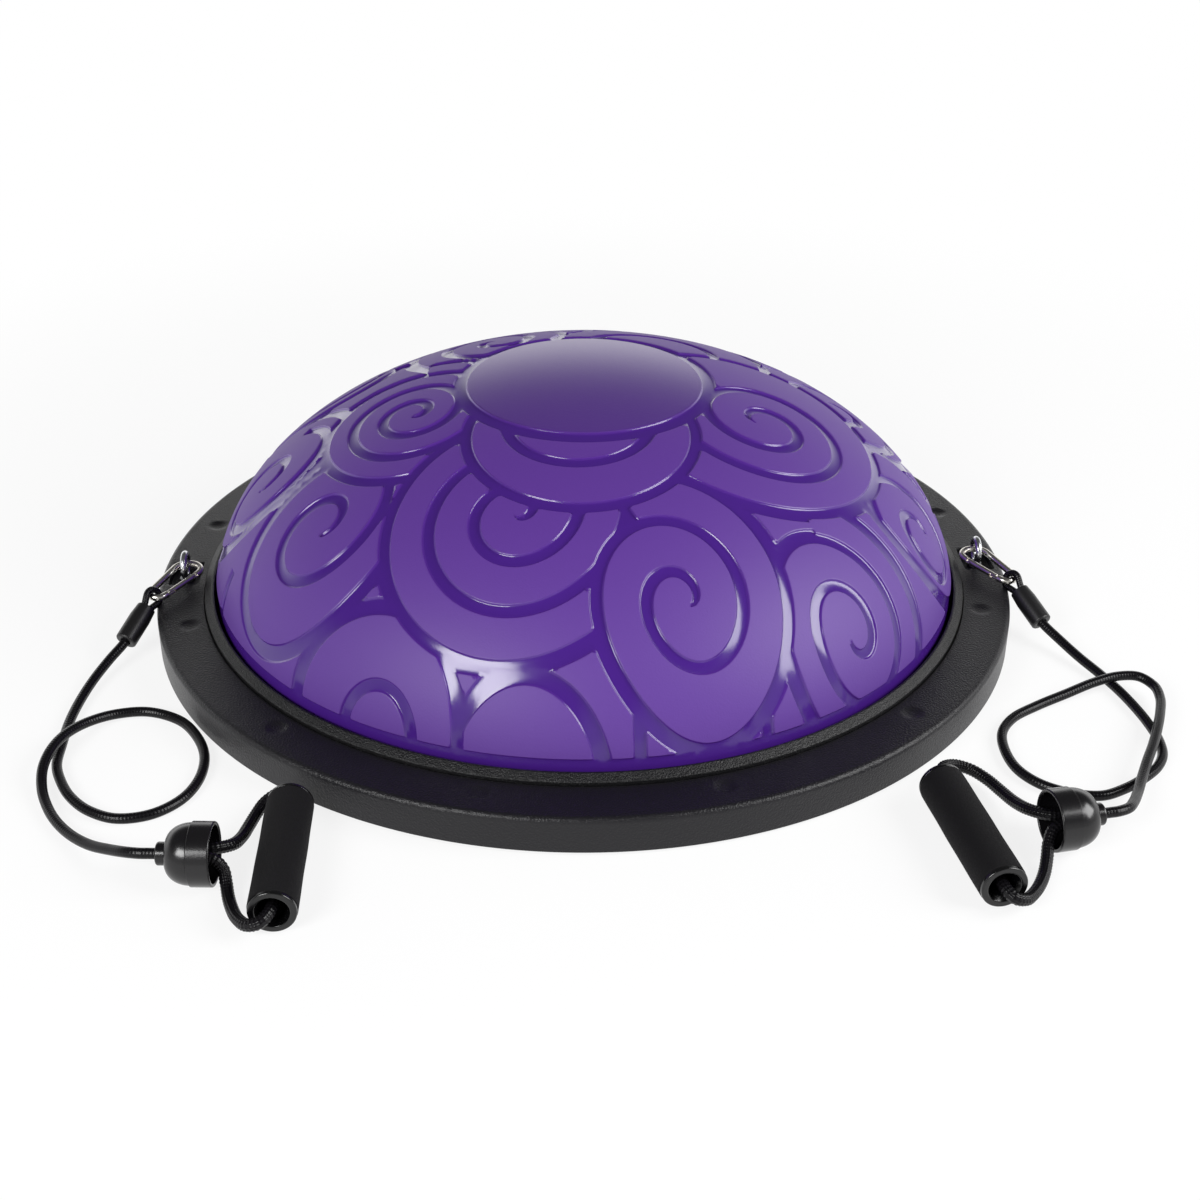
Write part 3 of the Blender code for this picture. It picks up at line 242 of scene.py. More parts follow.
add(tree, "ShaderNodeOutputMaterial", {"Surface": shader.outputs[0]})
print(cord_cover.name, "with", YARNS_ROUND, "yarns round")

# %% [markdown]
# ## Laying a cord
# A cord is a fixed length of something limp. It is drawn as a route of a few dozen places, and a smooth curve runs
# through all of them. A ring of points is then swept along that curve. Each ring is turned from the one before by the
# smallest possible angle, so that the cover never twists.

# %% Smooth routes and swept tubes
def smooth_route(places, step):
    def between(a, b, low, high, t):
        return a + (b - a) * (t - low) / (high - low)

    places = [np.array(p, float) for p in places]
    ends = [2 * places[0] - places[1], *places, 2 * places[-1] - places[-2]]
    dense = [places[0]]
    for p in zip(ends, ends[1:], ends[2:], ends[3:]):
        k = np.concatenate([[0.0], np.cumsum([np.sqrt(np.linalg.norm(b - a)) for a, b in zip(p, p[1:])])])
        for t in np.linspace(k[1], k[2], 25)[1:]:
            a = [between(p[i], p[i + 1], k[i], k[i + 1], t) for i in range(3)]
            b = [between(a[i], a[i + 1], k[i], k[i + 2], t) for i in range(2)]
            dense.append(between(b[0], b[1], k[1], k[2], t))
    run = np.concatenate([[0.0], np.cumsum(np.linalg.norm(np.diff(dense, axis=0), axis=1))])
    wanted = np.linspace(0.0, run[-1], round(run[-1] / step) + 1)
    return np.stack([np.interp(wanted, run, np.array(dense)[:, i]) for i in range(3)], axis=1), run[-1]


def sweep(path, radius, sides, flat=None, plait=0.0, plaits=0, closed=False):
    """Points and faces of a tube. flat thins it along its second axis at each ring, and plaits raise a braid."""
    path = np.asarray(path, float)
    way = np.gradient(path, axis=0) if not closed else np.roll(path, -1, 0) - np.roll(path, 1, 0)
    way /= np.linalg.norm(way, axis=1)[:, None]
    run = np.concatenate([[0.0], np.cumsum(np.linalg.norm(np.diff(path, axis=0), axis=1))])
    angle = 2 * math.pi * np.arange(sides) / sides
    aside = np.cross(way[0], (0.0, 0.0, 1.0) if abs(way[0][2]) < 0.8 else (1.0, 0.0, 0.0))
    points = []
    for i, (p, w) in enumerate(zip(path, way)):
        aside = aside - w * (aside @ w)
        aside /= np.linalg.norm(aside)
        r = radius + plait * (np.cos(plaits * angle) - math.cos(plaits * run[i] / radius)) / 2
        points.append(p + np.outer(r * np.cos(angle), aside)
                      + np.outer(r * np.sin(angle), np.cross(w, aside)) * (1.0 if flat is None else flat[i]))
    rings = len(path)
    spans = range(rings if closed else rings - 1)
    faces = [(i % rings * sides + j, i % rings * sides + (j + 1) % sides, (i + 1) % rings * sides + (j + 1) % sides,
              (i + 1) % rings * sides + j) for i in spans for j in range(sides)]
    if not closed:
        faces += [tuple(reversed(range(sides))), tuple(range((rings - 1) * sides, rings * sides))]
    return np.concatenate(points), faces, run


def wind_uv(piece, run, sides, radius):
    """Writes turns along and turns round as the UV map of a swept tube."""
    layer = piece.data.uv_layers.new(name="UVMap")
    round_length = 2 * math.pi * radius
    for face in piece.data.polygons[:(len(run) - 1) * sides]:
        corners = [piece.data.loops[i].vertex_index for i in face.loop_indices]
        columns = [c % sides for c in corners]
        wraps = max(columns) - min(columns) > 1
        for i, c, column in zip(face.loop_indices, corners, columns):
            turn = (column + (sides if wraps and column == 0 else 0)) / sides
            layer.data[i].uv = (run[c // sides] / round_length, turn)


print("a straight metre sweeps to", len(sweep([(0, 0, 0), (0, 500, 0), (0, 1000, 0)], 3.0, 12)[0]), "points")

# %% [markdown]
# ## The elastic cords
# Each cord leaves its crimped sleeve at the clip, lies on the table in a loose loop, climbs over itself once and runs
# into the neck of the bell. The whole cord is one fixed piece: it is not attached to the clip and does not follow it.

# %% Elastic cords
SLEEVE = {side: ((sign * 291.89, -48.5, 26.25), (sign * 0.4052, -0.8057, -0.4321)) for side, sign in SIDES.items()}
BELL = {"left": ((-244.5, -301.0, 18.3), (0.9982, -0.06, 0.0)),
        "right": ((280.5, -286.7, 18.3), (-0.9851, -0.172, 0.0))}
CORD_RADIUS = 3.1
CORD_ROUTES = {
    "left": [(-311.5, -86, 9.5), (-318.5, -105, 6.2), (-323, -126, 4.2), (-325, -148, 3.4), (-324.5, -172, 3.4),
             (-323, -194, 3.4), (-317, -211, 3.4), (-308, -227, 3.4), (-295, -240.5, 3.4), (-278, -248.5, 3.4),
             (-259, -245.5, 3.4), (-244, -232.5, 3.4), (-236.5, -214, 3.4), (-236, -190, 3.4), (-243.5, -168, 3.4),
             (-257, -149.5, 3.6), (-278, -139.5, 4.0), (-297, -143.5, 5.5), (-311, -155, 8.0), (-321, -171, 10.4),
             (-326.5, -187, 10.4), (-328.3, -204, 8.5), (-325.5, -221, 5.2), (-319.5, -236, 3.6), (-311.5, -250, 3.5),
             (-300.5, -264, 4.4), (-287, -277.5, 7.4), (-272.5, -289.5, 12.8), (-261.5, -297.5, 17.0)],
    "right": [(312.5, -86, 9), (321, -103, 6), (329.5, -120, 4.2), (336, -137, 3.4), (340.5, -156, 3.4),
              (343.5, -175, 3.4), (344.5, -193, 3.4), (342, -210, 3.4), (335, -222.5, 3.4), (323.5, -233.5, 3.4),
              (309, -243.5, 3.4), (293, -250, 3.4), (276, -247, 3.4), (260.5, -237.5, 3.4), (250.5, -222.5, 3.4),
              (247.5, -203, 3.4), (250.5, -183, 3.4), (261, -167.5, 3.5), (279, -155.5, 4.2), (300, -146, 6.5),
              (320, -138, 9.5), (337, -133, 10.6), (350, -133.5, 10.2), (357, -143, 9.2), (356.5, -157, 9.2),
              (351, -174, 10), (343.5, -192, 10.7), (335, -210, 10.7), (326.5, -226, 10.7), (318.5, -242, 10.8),
              (310.3, -259, 12), (303.6, -271.8, 14.8), (297.3, -281, 17.4)]}
BLEND_LINES = {"left": ((-325, -148, 3.4), (-336.2, -103.4, 39.1)),
               "right": ((332, -126, 4), (326.4, -88.4, 34.1))}


def along(line, distance):
    return np.array(line[0]) + np.array(line[1]) * distance


for side in SIDES:
    route, length = smooth_route([along(SLEEVE[side], 20), along(SLEEVE[side], 28), *CORD_ROUTES[side],
                                  *(along(BELL[side], t) for t in (-9.5, -5.0, 0.0, 8.0))], 1.0)
    points, faces, run = sweep(route, CORD_RADIUS, 24)
    cord = make_piece(f"{side}_elastic_cord", points, faces, cord_cover)
    wind_uv(cord, run, 24, CORD_RADIUS)
    start, end = np.array(BLEND_LINES[side]) * MM
    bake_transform(cord)
    hand_over(cord, None, "black_woven_cord_cover", f"{side}_cord")
    print(side, "elastic cord is", round(length), "mm long")

# %% [markdown]
# ## The handle cords
# The thicker cord of each handle is a closed loop: out of the bell, through the handle's tube and back. Its braid is
# coarse enough to catch the light by itself, so here the diamonds are real relief in the swept rings.

# %% Handle cords
HANDLE_CORD_RADIUS, RELIEF = 3.35, 0.34
LEGS = {
    "left": ([(-213, -297.5, 18.2), (-205.5, -290.5, 15), (-202.5, -278, 10), (-200.5, -263, 6.5), (-198, -251, 5.6),
              (-194, -242.5, 7.5), (-188, -238.3, 10), (-182, -240.5, 12.7), (-178.8, -248, 14), (-177.6, -258, 14)],
             [(-213.5, -306, 17), (-208.5, -308, 11.8), (-206.5, -313.5, 7), (-204.5, -322, 4.3), (-201, -333, 4.6),
              (-196.5, -344, 7), (-190, -352.8, 10), (-183.5, -354, 12.5), (-179.3, -348.5, 14), (-177.6, -338, 14)]),
    "right": ([(249.5, -286, 18.2), (241.5, -277.5, 15.5), (237, -264, 11), (233, -249, 8), (228, -236, 7),
               (220.5, -227.5, 8), (211.5, -226, 10.5), (203.5, -230.5, 13.2), (199, -238.5, 14), (198, -249, 14),
               (199.4, -261, 14)],
              [(250.5, -297.5, 16.5), (246.5, -303, 11.5), (244.3, -310, 7.2), (241, -319, 4.4), (235.5, -330, 4.4),
               (229, -340, 6), (222.2, -348, 9), (215.5, -350, 12.2), (212, -344.5, 13.9), (210.6, -334, 14)])}
for side, (far_leg, near_leg) in LEGS.items():
    way = np.array(BELL[side][1])
    sideways = np.array((-way[1], way[0], 0.0)) * math.copysign(3.8, way[0])
    starts = [along(BELL[side], t) + s * sideways for s, t in ((1, 17.6), (1, 22.6), (-1, 22.6), (-1, 17.6))]
    route, length = smooth_route([*starts[:2], *far_leg, *reversed(near_leg), *starts[2:]], 0.4)
    points, faces, run = sweep(route, HANDLE_CORD_RADIUS, 52, plait=RELIEF, plaits=YARNS_ROUND)
    cord = make_piece(f"{side}_handle_cord", points, faces, cord_cover, crease=80.0)
    wind_uv(cord, run, 52, HANDLE_CORD_RADIUS)
    hand_over(cord, "base", "black_woven_cord_cover", f"{side}_handle_cord")
    print(side, "handle cord is", round(length), "mm long")

# %% [markdown]
# ## The spirals of the dome
# The dome's soft skin is moulded with broad flat pads, and the grooves between them draw spirals and ovals that lie
# over one another like shells. The pattern is a list from the top layer down. Each entry sits at an azimuth and an
# angle from the top of the dome, and an upper one hides what lies under it. One function answers a single question for
# any place on the skin: how far inside a pad is it? Negative answers are in a groove.

# %% Pattern of the dome
DOME_R, DOME_H, DOME_BASE = 251.0, 150.1, 18.7
CAP_R, CAP_GROOVE, GROOVE, PAD_END = 77.0, 9.0, 7.6, 17.8


def oval(azimuth, polar, tall, radius):
    return {"at": (azimuth, polar, tall, 1, 0.0), "radius": radius}


def spiral(azimuth, polar, tall, hand, first, pitch, tip, end, sag=0.0):
    return {"at": (azimuth, polar, tall, hand, sag), "first": first, "pitch": pitch, "tip": tip, "end": end}


# Outline, the lines inside it (none given: the spiral's own turns), and whether the spiral's last step shows.
SHELLS = [
    (oval(-94, 16.6, 1.0, 72), [oval(-95.7, 13.9, 1.0, 46.1)], False),
    (oval(-18.4, 26.1, 1.0, 93), [spiral(-19.9, 28.6, 1.06, -1, 16.8, 26.8, -0.4, 1.75)], False),
    (oval(50, 20, 1.0, 74), [oval(50, 17, 1.0, 46)], False),
    (spiral(-75.7, 53.1, 1.26, 1, 7.8, 28.9, -0.15, 2.3, 0.0027), None, True),
    (spiral(-108.4, 35.9, 1.16, 1, 8.8, 27.9, -0.25, 3.25), None, False),
    (spiral(-168.3, 26.9, 0.96, 1, 5.3, 22.2, -0.15, 3.45), None, False),
    (spiral(121.7, 26, 1.05, 1, 12, 25, -0.3, 2.9), None, False),
    (spiral(117, 56, 1.25, -1, 7.8, 28.9, -0.15, 2.3, 0.0027), None, True),
    (spiral(84, 38, 1.15, -1, 8.8, 27.9, -0.25, 3.25), None, False),
    (oval(14, 46, 1.2, 56), [spiral(12, 45, 1.2, -1, 8, 25, -0.1, 1.5)], False),
    (oval(-146.7, 51.9, 1.4, 56.8), [spiral(-148.6, 51.2, 1.26, 1, 9.3, 26.5, -0.1, 1.25)], False),
    (spiral(-48.5, 68.6, 1.39, 1, 16.4, 23.9, -0.5, 2.2), None, False),
    (oval(-180, 57, 1.3, 50), [spiral(-177, 58, 1.3, 1, 9, 25, -0.1, 1.4)], False),
    (oval(150, 58, 1.3, 55), [spiral(150, 57, 1.3, 1, 9, 26, -0.1, 1.3)], False),
    (oval(47, 62, 1.3, 54), [spiral(47, 61, 1.3, -1, 8, 26, -0.1, 1.6)], False),
    (oval(-14, 62, 1.3, 50), [spiral(-18, 65, 1.3, 1, 8, 24, -0.1, 1.4)], False),
    (oval(-122.8, 82.8, 1.2, 57.8), [oval(-121.5, 84.8, 1.3, 23.8)], False),
    (oval(-100.2, 90.4, 1.4, 46), [], False),
    (oval(134, 84, 1.2, 52), [oval(134, 86, 1.3, 23)], False),
    (oval(66, 84, 1.2, 52), [oval(66, 86, 1.3, 23)], False),
    (oval(100, 90, 1.4, 40), [], False),
    (oval(30, 90, 1.4, 40), [], False),
    (oval(-5, 90, 1.4, 40), [], False),
    (oval(168, 90, 1.4, 40), [], False)]
SMALL_PAD = (-109.0, 68.6, 1.0, 1, 0.0)  # the smallest pad is a triangle that points down
STRUTS = [(-84.8, 72), (-66.7, 76), (-163, 72)]  # straight grooves down to the rim: azimuth, start below the top


def around(points, azimuth, polar, tall, hand, sag):
    """Radius, turn and millimetres per unit of radius of points, seen from a centre on the dome."""
    a, p = math.radians(azimuth), math.radians(polar)
    unit = np.array((math.sin(p) * math.cos(a), math.sin(p) * math.sin(a), math.cos(p)))
    normal = unit / (DOME_R, DOME_R, DOME_H)
    sideways = np.array((-math.sin(a), math.cos(a), 0.0))
    apart = points - unit * (DOME_R, DOME_R, DOME_H) - (0.0, 0.0, DOME_BASE)
    x, y = apart @ sideways, apart @ np.cross(normal / np.linalg.norm(normal), sideways)
    scale = np.linalg.norm(apart, axis=1) / np.maximum(np.hypot(x, y), 1e-6)
    x, y = x * scale, y * scale / tall
    hang = 1 - sag * np.minimum(y, 0.0)
    y = y / hang
    r = np.maximum(np.hypot(x, y), 1e-6)
    return r, hand * np.arctan2(y, x) / (2 * math.pi) % 1.0, 1 / np.hypot(x / r, y / r / (tall * hang ** 2))


def groove(points, shape, edge_only=False):
    """Distance to the side of the shape's groove, and which points lie inside the shape."""
    r, turn, stretch = around(points, *shape["at"])
    if "radius" in shape:
        return np.abs(r - shape["radius"]) * stretch - GROOVE / 2, r < shape["radius"]
    first, pitch, tip = shape["first"], shape["pitch"], shape["tip"]
    lap = shape["end"] - 1 + (turn - shape["end"]) % 1.0
    outline = first + pitch * lap
    if edge_only:
        return np.abs(r - outline) * stretch - GROOVE / 2, r < outline
    tip_r = first + pitch * tip
    away = np.sqrt(r ** 2 + tip_r ** 2 - 2 * r * tip_r * np.cos(2 * math.pi * (turn - tip))) * stretch
    for t in (lap - i for i in range(5)):
        half = GROOVE / 2 * np.clip((t - tip) / 0.35, 0, 1) ** 0.7
        away = np.where(t > tip, np.minimum(away, np.abs(r - first - pitch * t) * stretch - half), away)
    return away, r < outline


def last_step(points, shape):
    """Distance to the short groove that closes a spiral's outermost turn."""
    r, turn, stretch = around(points, *shape["at"])
    side = (turn - shape["end"] + 0.5) % 1.0 - 0.5
    over = np.maximum(np.abs(r - shape["first"] - shape["pitch"] * (shape["end"] - 0.5)) - shape["pitch"] / 2, 0)
    return np.where(np.abs(side) < 0.25, np.hypot(2 * math.pi * r * side, over) * stretch - GROOVE / 2, 1e3)


def inside_pad(points):
    """How far each point of the skin is inside a pad, in millimetres."""
    away = np.full(len(points), 1e3)
    free = np.arange(len(points))
    for outline, inner, step in SHELLS:
        here = points[free]
        edge, inside = groove(here, outline, edge_only=True)
        if step:
            edge = np.minimum(edge, last_step(here, outline))
        away[free] = np.minimum(away[free], edge)
        for shape in [outline] if inner is None else inner:
            away[free[inside]] = np.minimum(away[free[inside]], groove(here[inside], shape)[0])
        free = free[~inside]
    here = points[free]
    away[free] -= 2.5  # the leftover pads are a little smaller
    r, turn, _ = around(here, *SMALL_PAD)
    third = (turn - 1 / 12) % (1 / 3) - 1 / 6
    away[free] = np.where(r < 24.0, 4.2 - r * np.cos(2 * math.pi * third), away[free])
    r = np.hypot(here[:, 0], here[:, 1])
    for azimuth, polar in STRUTS:
        turn = (np.degrees(np.arctan2(here[:, 1], here[:, 0])) - azimuth + 180) % 360 - 180
        beside = np.abs(np.radians(turn)) * r - GROOVE / 2
        away[free] = np.where(r > DOME_R * math.sin(math.radians(polar)), np.minimum(away[free], beside), away[free])
    away = np.minimum(away, points[:, 2] - DOME_BASE - PAD_END)
    r = np.hypot(points[:, 0], points[:, 1])
    return np.maximum(CAP_R - r, np.minimum(away, r - CAP_R - CAP_GROOVE))


print(len(SHELLS), "shells; the top of the dome is", inside_pad(np.array([(0.0, 0.0, DOME_BASE + DOME_H)]))[0],
      "mm inside the cap")

# %% [markdown]
# ## A mesh that follows the pattern
# The skin starts as rings of points from the top down, each with six points more than the last, so the triangles stay
# even. Three times the mesh is cut exactly along a line of equal depth inside the pads: foot, middle and top of the
# groove's wall. A point that already lies almost on the line moves onto it, which avoids slivers. Then every point
# moves in or out along the dome's normal, by a height that depends only on how far inside a pad it is.

# %% Dome mesh
SPACING, LEVELS = 3.1, (-0.9, 0.0, 0.8)


def on_skin(points):
    unit = (points - (0.0, 0.0, DOME_BASE)) / (DOME_R, DOME_R, DOME_H)
    return unit / np.linalg.norm(unit, axis=1)[:, None] * (DOME_R, DOME_R, DOME_H) + (0.0, 0.0, DOME_BASE)


def cut(points, depth, tris, level):
    """Adds points where the depth passes the level, and splits the triangles there."""
    edges = np.unique(np.sort(tris[:, [0, 1, 1, 2, 2, 0]].reshape(-1, 2), axis=1), axis=0)
    edges = edges[(depth[edges[:, 0]] - level) * (depth[edges[:, 1]] - level) < 0]
    a, b = edges.T
    low, high = np.zeros(len(a)), np.ones(len(a))
    for _ in range(10):
        t = (low + high) / 2
        found = on_skin(points[a] + (points[b] - points[a]) * t[:, None])
        before = (inside_pad(found) > level) == (depth[a] > level)
        low, high = np.where(before, t, low), np.where(before, high, t)
    nearest = np.minimum(t, 1 - t)
    order = np.argsort(nearest)
    order = order[nearest[order] < 0.14]
    moved = np.where(t < 0.5, a, b)[order]
    free = ~np.isin(depth[moved], LEVELS)
    moved, first = np.unique(moved[free], return_index=True)
    points[moved], depth[moved] = found[order[free][first]], level
    open_edges = (depth[a] != level) & (depth[b] != level)
    a, b, found = a[open_edges], b[open_edges], found[open_edges]
    count = len(points)
    key = a * count + b
    corners = np.sort(np.stack([tris, np.roll(tris, -1, axis=1)], axis=2), axis=2)
    wanted = corners[:, :, 0] * count + corners[:, :, 1]
    spot = np.minimum(np.searchsorted(key, wanted), len(key) - 1)
    middle = np.where(key[spot] == wanted, count + spot, -1)
    parts = [tris[(middle < 0).all(axis=1)]]
    for turn in range(3):
        v, m = np.roll(tris, -turn, axis=1), np.roll(middle, -turn, axis=1)
        lone = (m[:, 0] >= 0) & (m[:, 2] >= 0)
        (v0, v1, v2), (m0, _, m2) = v[lone].T, m[lone].T
        parts += [np.stack(x, axis=1) for x in ((v0, m0, m2), (m0, v1, v2), (m0, v2, m2))]
        single = (m[:, 1] >= 0) & (m[:, 0] < 0) & (m[:, 2] < 0)
        (v0, v1, v2), m1 = v[single].T, m[single][:, 1]
        parts += [np.stack(x, axis=1) for x in ((v0, v1, m1), (v0, m1, v2))]
    return np.concatenate([points, found]), np.concatenate([depth, np.full(len(found), level)]), np.concatenate(parts)


angle = np.linspace(0, math.pi / 2, 2000)
arc = np.concatenate([[0.0], np.cumsum(np.hypot(*np.diff([DOME_R * np.sin(angle), DOME_H * np.cos(angle)], axis=1)))])
ring_count = round(arc[-1] / SPACING)
points, tris = [np.array([[0.0, 0.0, DOME_BASE + DOME_H]])], []
for ring in range(1, ring_count + 1):
    polar = np.interp(arc[-1] * ring / ring_count, arc, angle)
    turn = 2 * math.pi * np.arange(6 * ring) / (6 * ring)
    points.append(np.stack([DOME_R * math.sin(polar) * np.cos(turn), DOME_R * math.sin(polar) * np.sin(turn),
                            np.full(6 * ring, DOME_BASE + DOME_H * math.cos(polar))], axis=1))
    inner, outer = 1 + 3 * (ring - 1) * (ring - 2), 1 + 3 * ring * (ring - 1)
    for i in range(6 * ring):
        sector, step = divmod(i, ring)
        here = inner + (sector * (ring - 1) + step) % max(6 * (ring - 1), 1) if ring > 1 else 0
        tris.append((here, outer + i, outer + (i + 1) % (6 * ring)))
        if step < ring - 1:
            tris.append((here, outer + i + 1, inner + (sector * (ring - 1) + step + 1) % (6 * (ring - 1))))
points, tris = np.concatenate(points), np.array(tris)
lowest_ring = np.arange(len(points) - 6 * ring_count, len(points))
depth = inside_pad(points)
for level in LEVELS:
    points, depth, tris = cut(points, depth, tris, level)
print(ring_count, "rings became", len(points), "points and", len(tris), "triangles")

# %% [markdown]
# ## The purple skin
# Soft PVC is glossy where the mould was polished and satin where it was etched. Here the grooves are polished and
# darker, the pads carry a fine etched grain, and the cap lies between the two. The pads' lighter purple is partly
# painted sheen, standing in for the whitish lift of satin in the light, and partly the PVC's own tone. Two point
# attributes tell the shader where it is: one rises from the groove to the pad, the other marks the cap.

# %% Dome piece
purple_pvc, tree = new_material("moulded_purple_soft_pvc")
on_pad = add(tree, "ShaderNodeAttribute", attribute_name="pad")
on_cap = add(tree, "ShaderNodeAttribute", attribute_name="cap")
place = add(tree, "ShaderNodeTexCoord")
grain = add(tree, "ShaderNodeTexNoise", {"Vector": place.outputs["Object"], "Scale": 900.0, "Detail": 2.0})
# Groove colour rising to pad colour; the pads' lighter, greyer purple is partly painted sheen, partly the PVC's own
# tone.
painted_light_tint = add(tree, "ShaderNodeMix", {0: on_pad.outputs["Fac"], 6: linear("#3F1B77"), 7: linear("#532C87")},
           data_type="RGBA")
capped = add(tree, "ShaderNodeMix", {0: on_cap.outputs["Fac"], 6: painted_light_tint.outputs[2], 7: linear("#4C2E7A")},
             data_type="RGBA")
gloss = add(tree, "ShaderNodeMapRange", {"Value": on_pad.outputs["Fac"], "From Min": 0.6, "To Min": 0.15,
                                         "To Max": 0.56})
gloss = add(tree, "ShaderNodeMix", {0: on_cap.outputs["Fac"], 2: gloss.outputs[0], 3: 0.3})
depth_of_grain = add(tree, "ShaderNodeMath", {0: on_pad.outputs["Fac"], 1: 0.25}, operation="MULTIPLY")
bump = add(tree, "ShaderNodeBump", {"Height": grain.outputs[0], "Strength": depth_of_grain.outputs[0],
                                    "Distance": 0.0003})
shader = add(tree, "ShaderNodeBsdfPrincipled", {"Base Color": capped.outputs[2], "Roughness": gloss.outputs[0],
                                                "Normal": bump.outputs[0]})
add(tree, "ShaderNodeOutputMaterial", {"Surface": shader.outputs[0]})

normals = (points - (0.0, 0.0, DOME_BASE)) / np.array((DOME_R, DOME_R, DOME_H)) ** 2
normals /= np.linalg.norm(normals, axis=1)[:, None]
on_cap_point = np.hypot(points[:, 0], points[:, 1]) < CAP_R + 1
bulge = 0.9 * (1 - np.minimum(np.hypot(points[:, 0], points[:, 1]) / CAP_R, 1.0) ** 2)
lift = np.where(on_cap_point, np.interp(depth, LEVELS, (-1.8, -0.8, 0.3)) + bulge,
                np.interp(depth, LEVELS, (-1.8, -0.8, 0.0)))
shading = normals.copy()
wall = np.flatnonzero((depth > -GROOVE / 2) & (depth < LEVELS[-1]))
slope = np.interp(depth[wall], (-GROOVE / 2, *LEVELS), (0.0, 0.12, 1.1, 0.0))
sideways = np.cross(normals[wall], (0.0, 0.0, 1.0))
sideways /= np.linalg.norm(sideways, axis=1)[:, None]
for way in (sideways, np.cross(normals[wall], sideways)):
    rise = (inside_pad(points[wall] + 0.3 * way) - inside_pad(points[wall] - 0.3 * way)) / 0.6
    shading[wall] -= (slope * np.clip(rise, -1, 1))[:, None] * way
skin = points + normals * lift[:, None]
rows = [(251.2, 15.0), (252.4, 11.5), (257.0, 9.3), (257.0, 7.3), (248.2, 7.3), (248.0, 18.7), (240.0, 54.0),
        (212.0, 95.0), (165.0, 127.5), (95.0, 153.0), (0.0, 163.6)]
turn = 2 * math.pi * np.arange(len(lowest_ring)) / len(lowest_ring)
skirt = [np.stack([r * np.cos(turn), r * np.sin(turn), np.full(len(turn), z)], axis=1) for r, z in rows[:-1]]
loops = [lowest_ring] + [len(skin) + i * len(turn) + np.arange(len(turn)) for i in range(len(skirt))]
inside_top = len(skin) + len(skirt) * len(turn)
faces = [tuple(t) for t in tris]
for upper, lower in zip(loops, loops[1:]):
    faces += [tuple(q) for q in np.stack([upper, lower, np.roll(lower, -1), np.roll(upper, -1)], axis=1)]
faces += [(int(i), inside_top, int(j)) for i, j in zip(loops[-1], np.roll(loops[-1], -1))]
everything = np.concatenate([skin, *skirt, [(0.0, 0.0, rows[-1][1])]])
dome = make_piece("dome_skin", everything, faces, purple_pvc)
for name, values in (("pad", np.interp(depth, (LEVELS[0], LEVELS[2]), (0.0, 1.0))),
                     ("cap", (on_cap_point & (depth > 0)).astype(float))):
    layer = dome.data.attributes.new(name, "FLOAT", "POINT")
    layer.data.foreach_set("value", np.concatenate([values, np.zeros(len(everything) - len(skin))]).astype(np.float32))
plain = np.array([v.normal for v in dome.data.vertices])
plain[:len(skin)] = shading / np.linalg.norm(shading, axis=1)[:, None]
dome.data.normals_split_custom_set_from_vertices(plain)
hand_over(dome, "base", "purple_soft_pvc", "dome")

# %% [markdown]
# ## Plastics
# The moulded parts differ only in colour, gloss and grain, so one function makes them. The grain is a noise in the
# piece's own coordinates. Its size is that of the mould texture, in millimetres.

# %% Plastics, rubber and metal
def moulded(name, code, roughness, grain, depth, strength=0.5, detail=2.0, shine=0.5):
    material, tree = new_material(name)
    place = add(tree, "ShaderNodeTexCoord")
    noise = add(tree, "ShaderNodeTexNoise", {"Vector": place.outputs["Object"], "Scale": 1 / (grain * MM),
                                             "Detail": detail})
    bump = add(tree, "ShaderNodeBump", {"Height": noise.outputs[0], "Distance": depth * MM, "Strength": strength})
    shader = add(tree, "ShaderNodeBsdfPrincipled", {"Base Color": linear(code), "Roughness": roughness,
                                                    "Specular IOR Level": shine, "Normal": bump.outputs[0]})
    add(tree, "ShaderNodeOutputMaterial", {"Surface": shader.outputs[0]})
    return material


def plated(name, code, roughness):
    material, tree = new_material(name)
    place = add(tree, "ShaderNodeTexCoord")
    noise = add(tree, "ShaderNodeTexNoise", {"Vector": place.outputs["Object"], "Scale": 350.0, "Detail": 3.0})
    worn = add(tree, "ShaderNodeMapRange", {"Value": noise.outputs[0], "To Min": 0.7 * roughness,
                                            "To Max": 1.3 * roughness})
    shader = add(tree, "ShaderNodeBsdfPrincipled", {"Base Color": linear(code), "Metallic": 1.0,
                                                    "Roughness": worn.outputs[0]})
    add(tree, "ShaderNodeOutputMaterial", {"Surface": shader.outputs[0]})
    return material


# A leather-like grain of about 1.2 mm breaks the rim's highlights into a soft sparkle.
rim_plastic = moulded("charcoal_leather_grain_plastic", "#131216", 0.36, 1.2, 0.45, 1.0, 3.0, 0.36)
# The clamp ring is etched more coarsely, so that it reads as speckled.
ring_plastic = moulded("charcoal_speckled_plastic", "#0A0A0C", 0.38, 0.9, 0.6, 1.0, 2.0, 0.36)
# The plate is a plain satin black that stays in the background.
base_plastic = moulded("black_base_plastic", "#1B1A1C", 0.55, 1.5, 0.15)
# Rubber is the dullest black here: it shows no highlight.
foot_rubber = moulded("black_foot_rubber", "#141415", 0.8, 0.8, 0.1)
# Sleeves are matt, with a soft broad highlight.
sleeve_plastic = moulded("matt_black_sleeve_plastic", "#0E0D0F", 0.42, 1.0, 0.05)
# Bells are smoother and carry a clear band of light.
bell_plastic = moulded("satin_black_bell_plastic", "#100F11", 0.22, 1.2, 0.03)
# Tubes and end caps are almost polished, with small sharp glints.
tube_plastic = moulded("gloss_black_tube_plastic", "#080809", 0.2, 2.0, 0.02)
# Closed-cell foam swallows light; its cells of about half a millimetre are drawn at twice that size so that they show.
grip_foam = moulded("black_closed_cell_foam", "#0C0B0D", 0.9, 1.0, 0.35, 0.9, 4.0, 0.25)
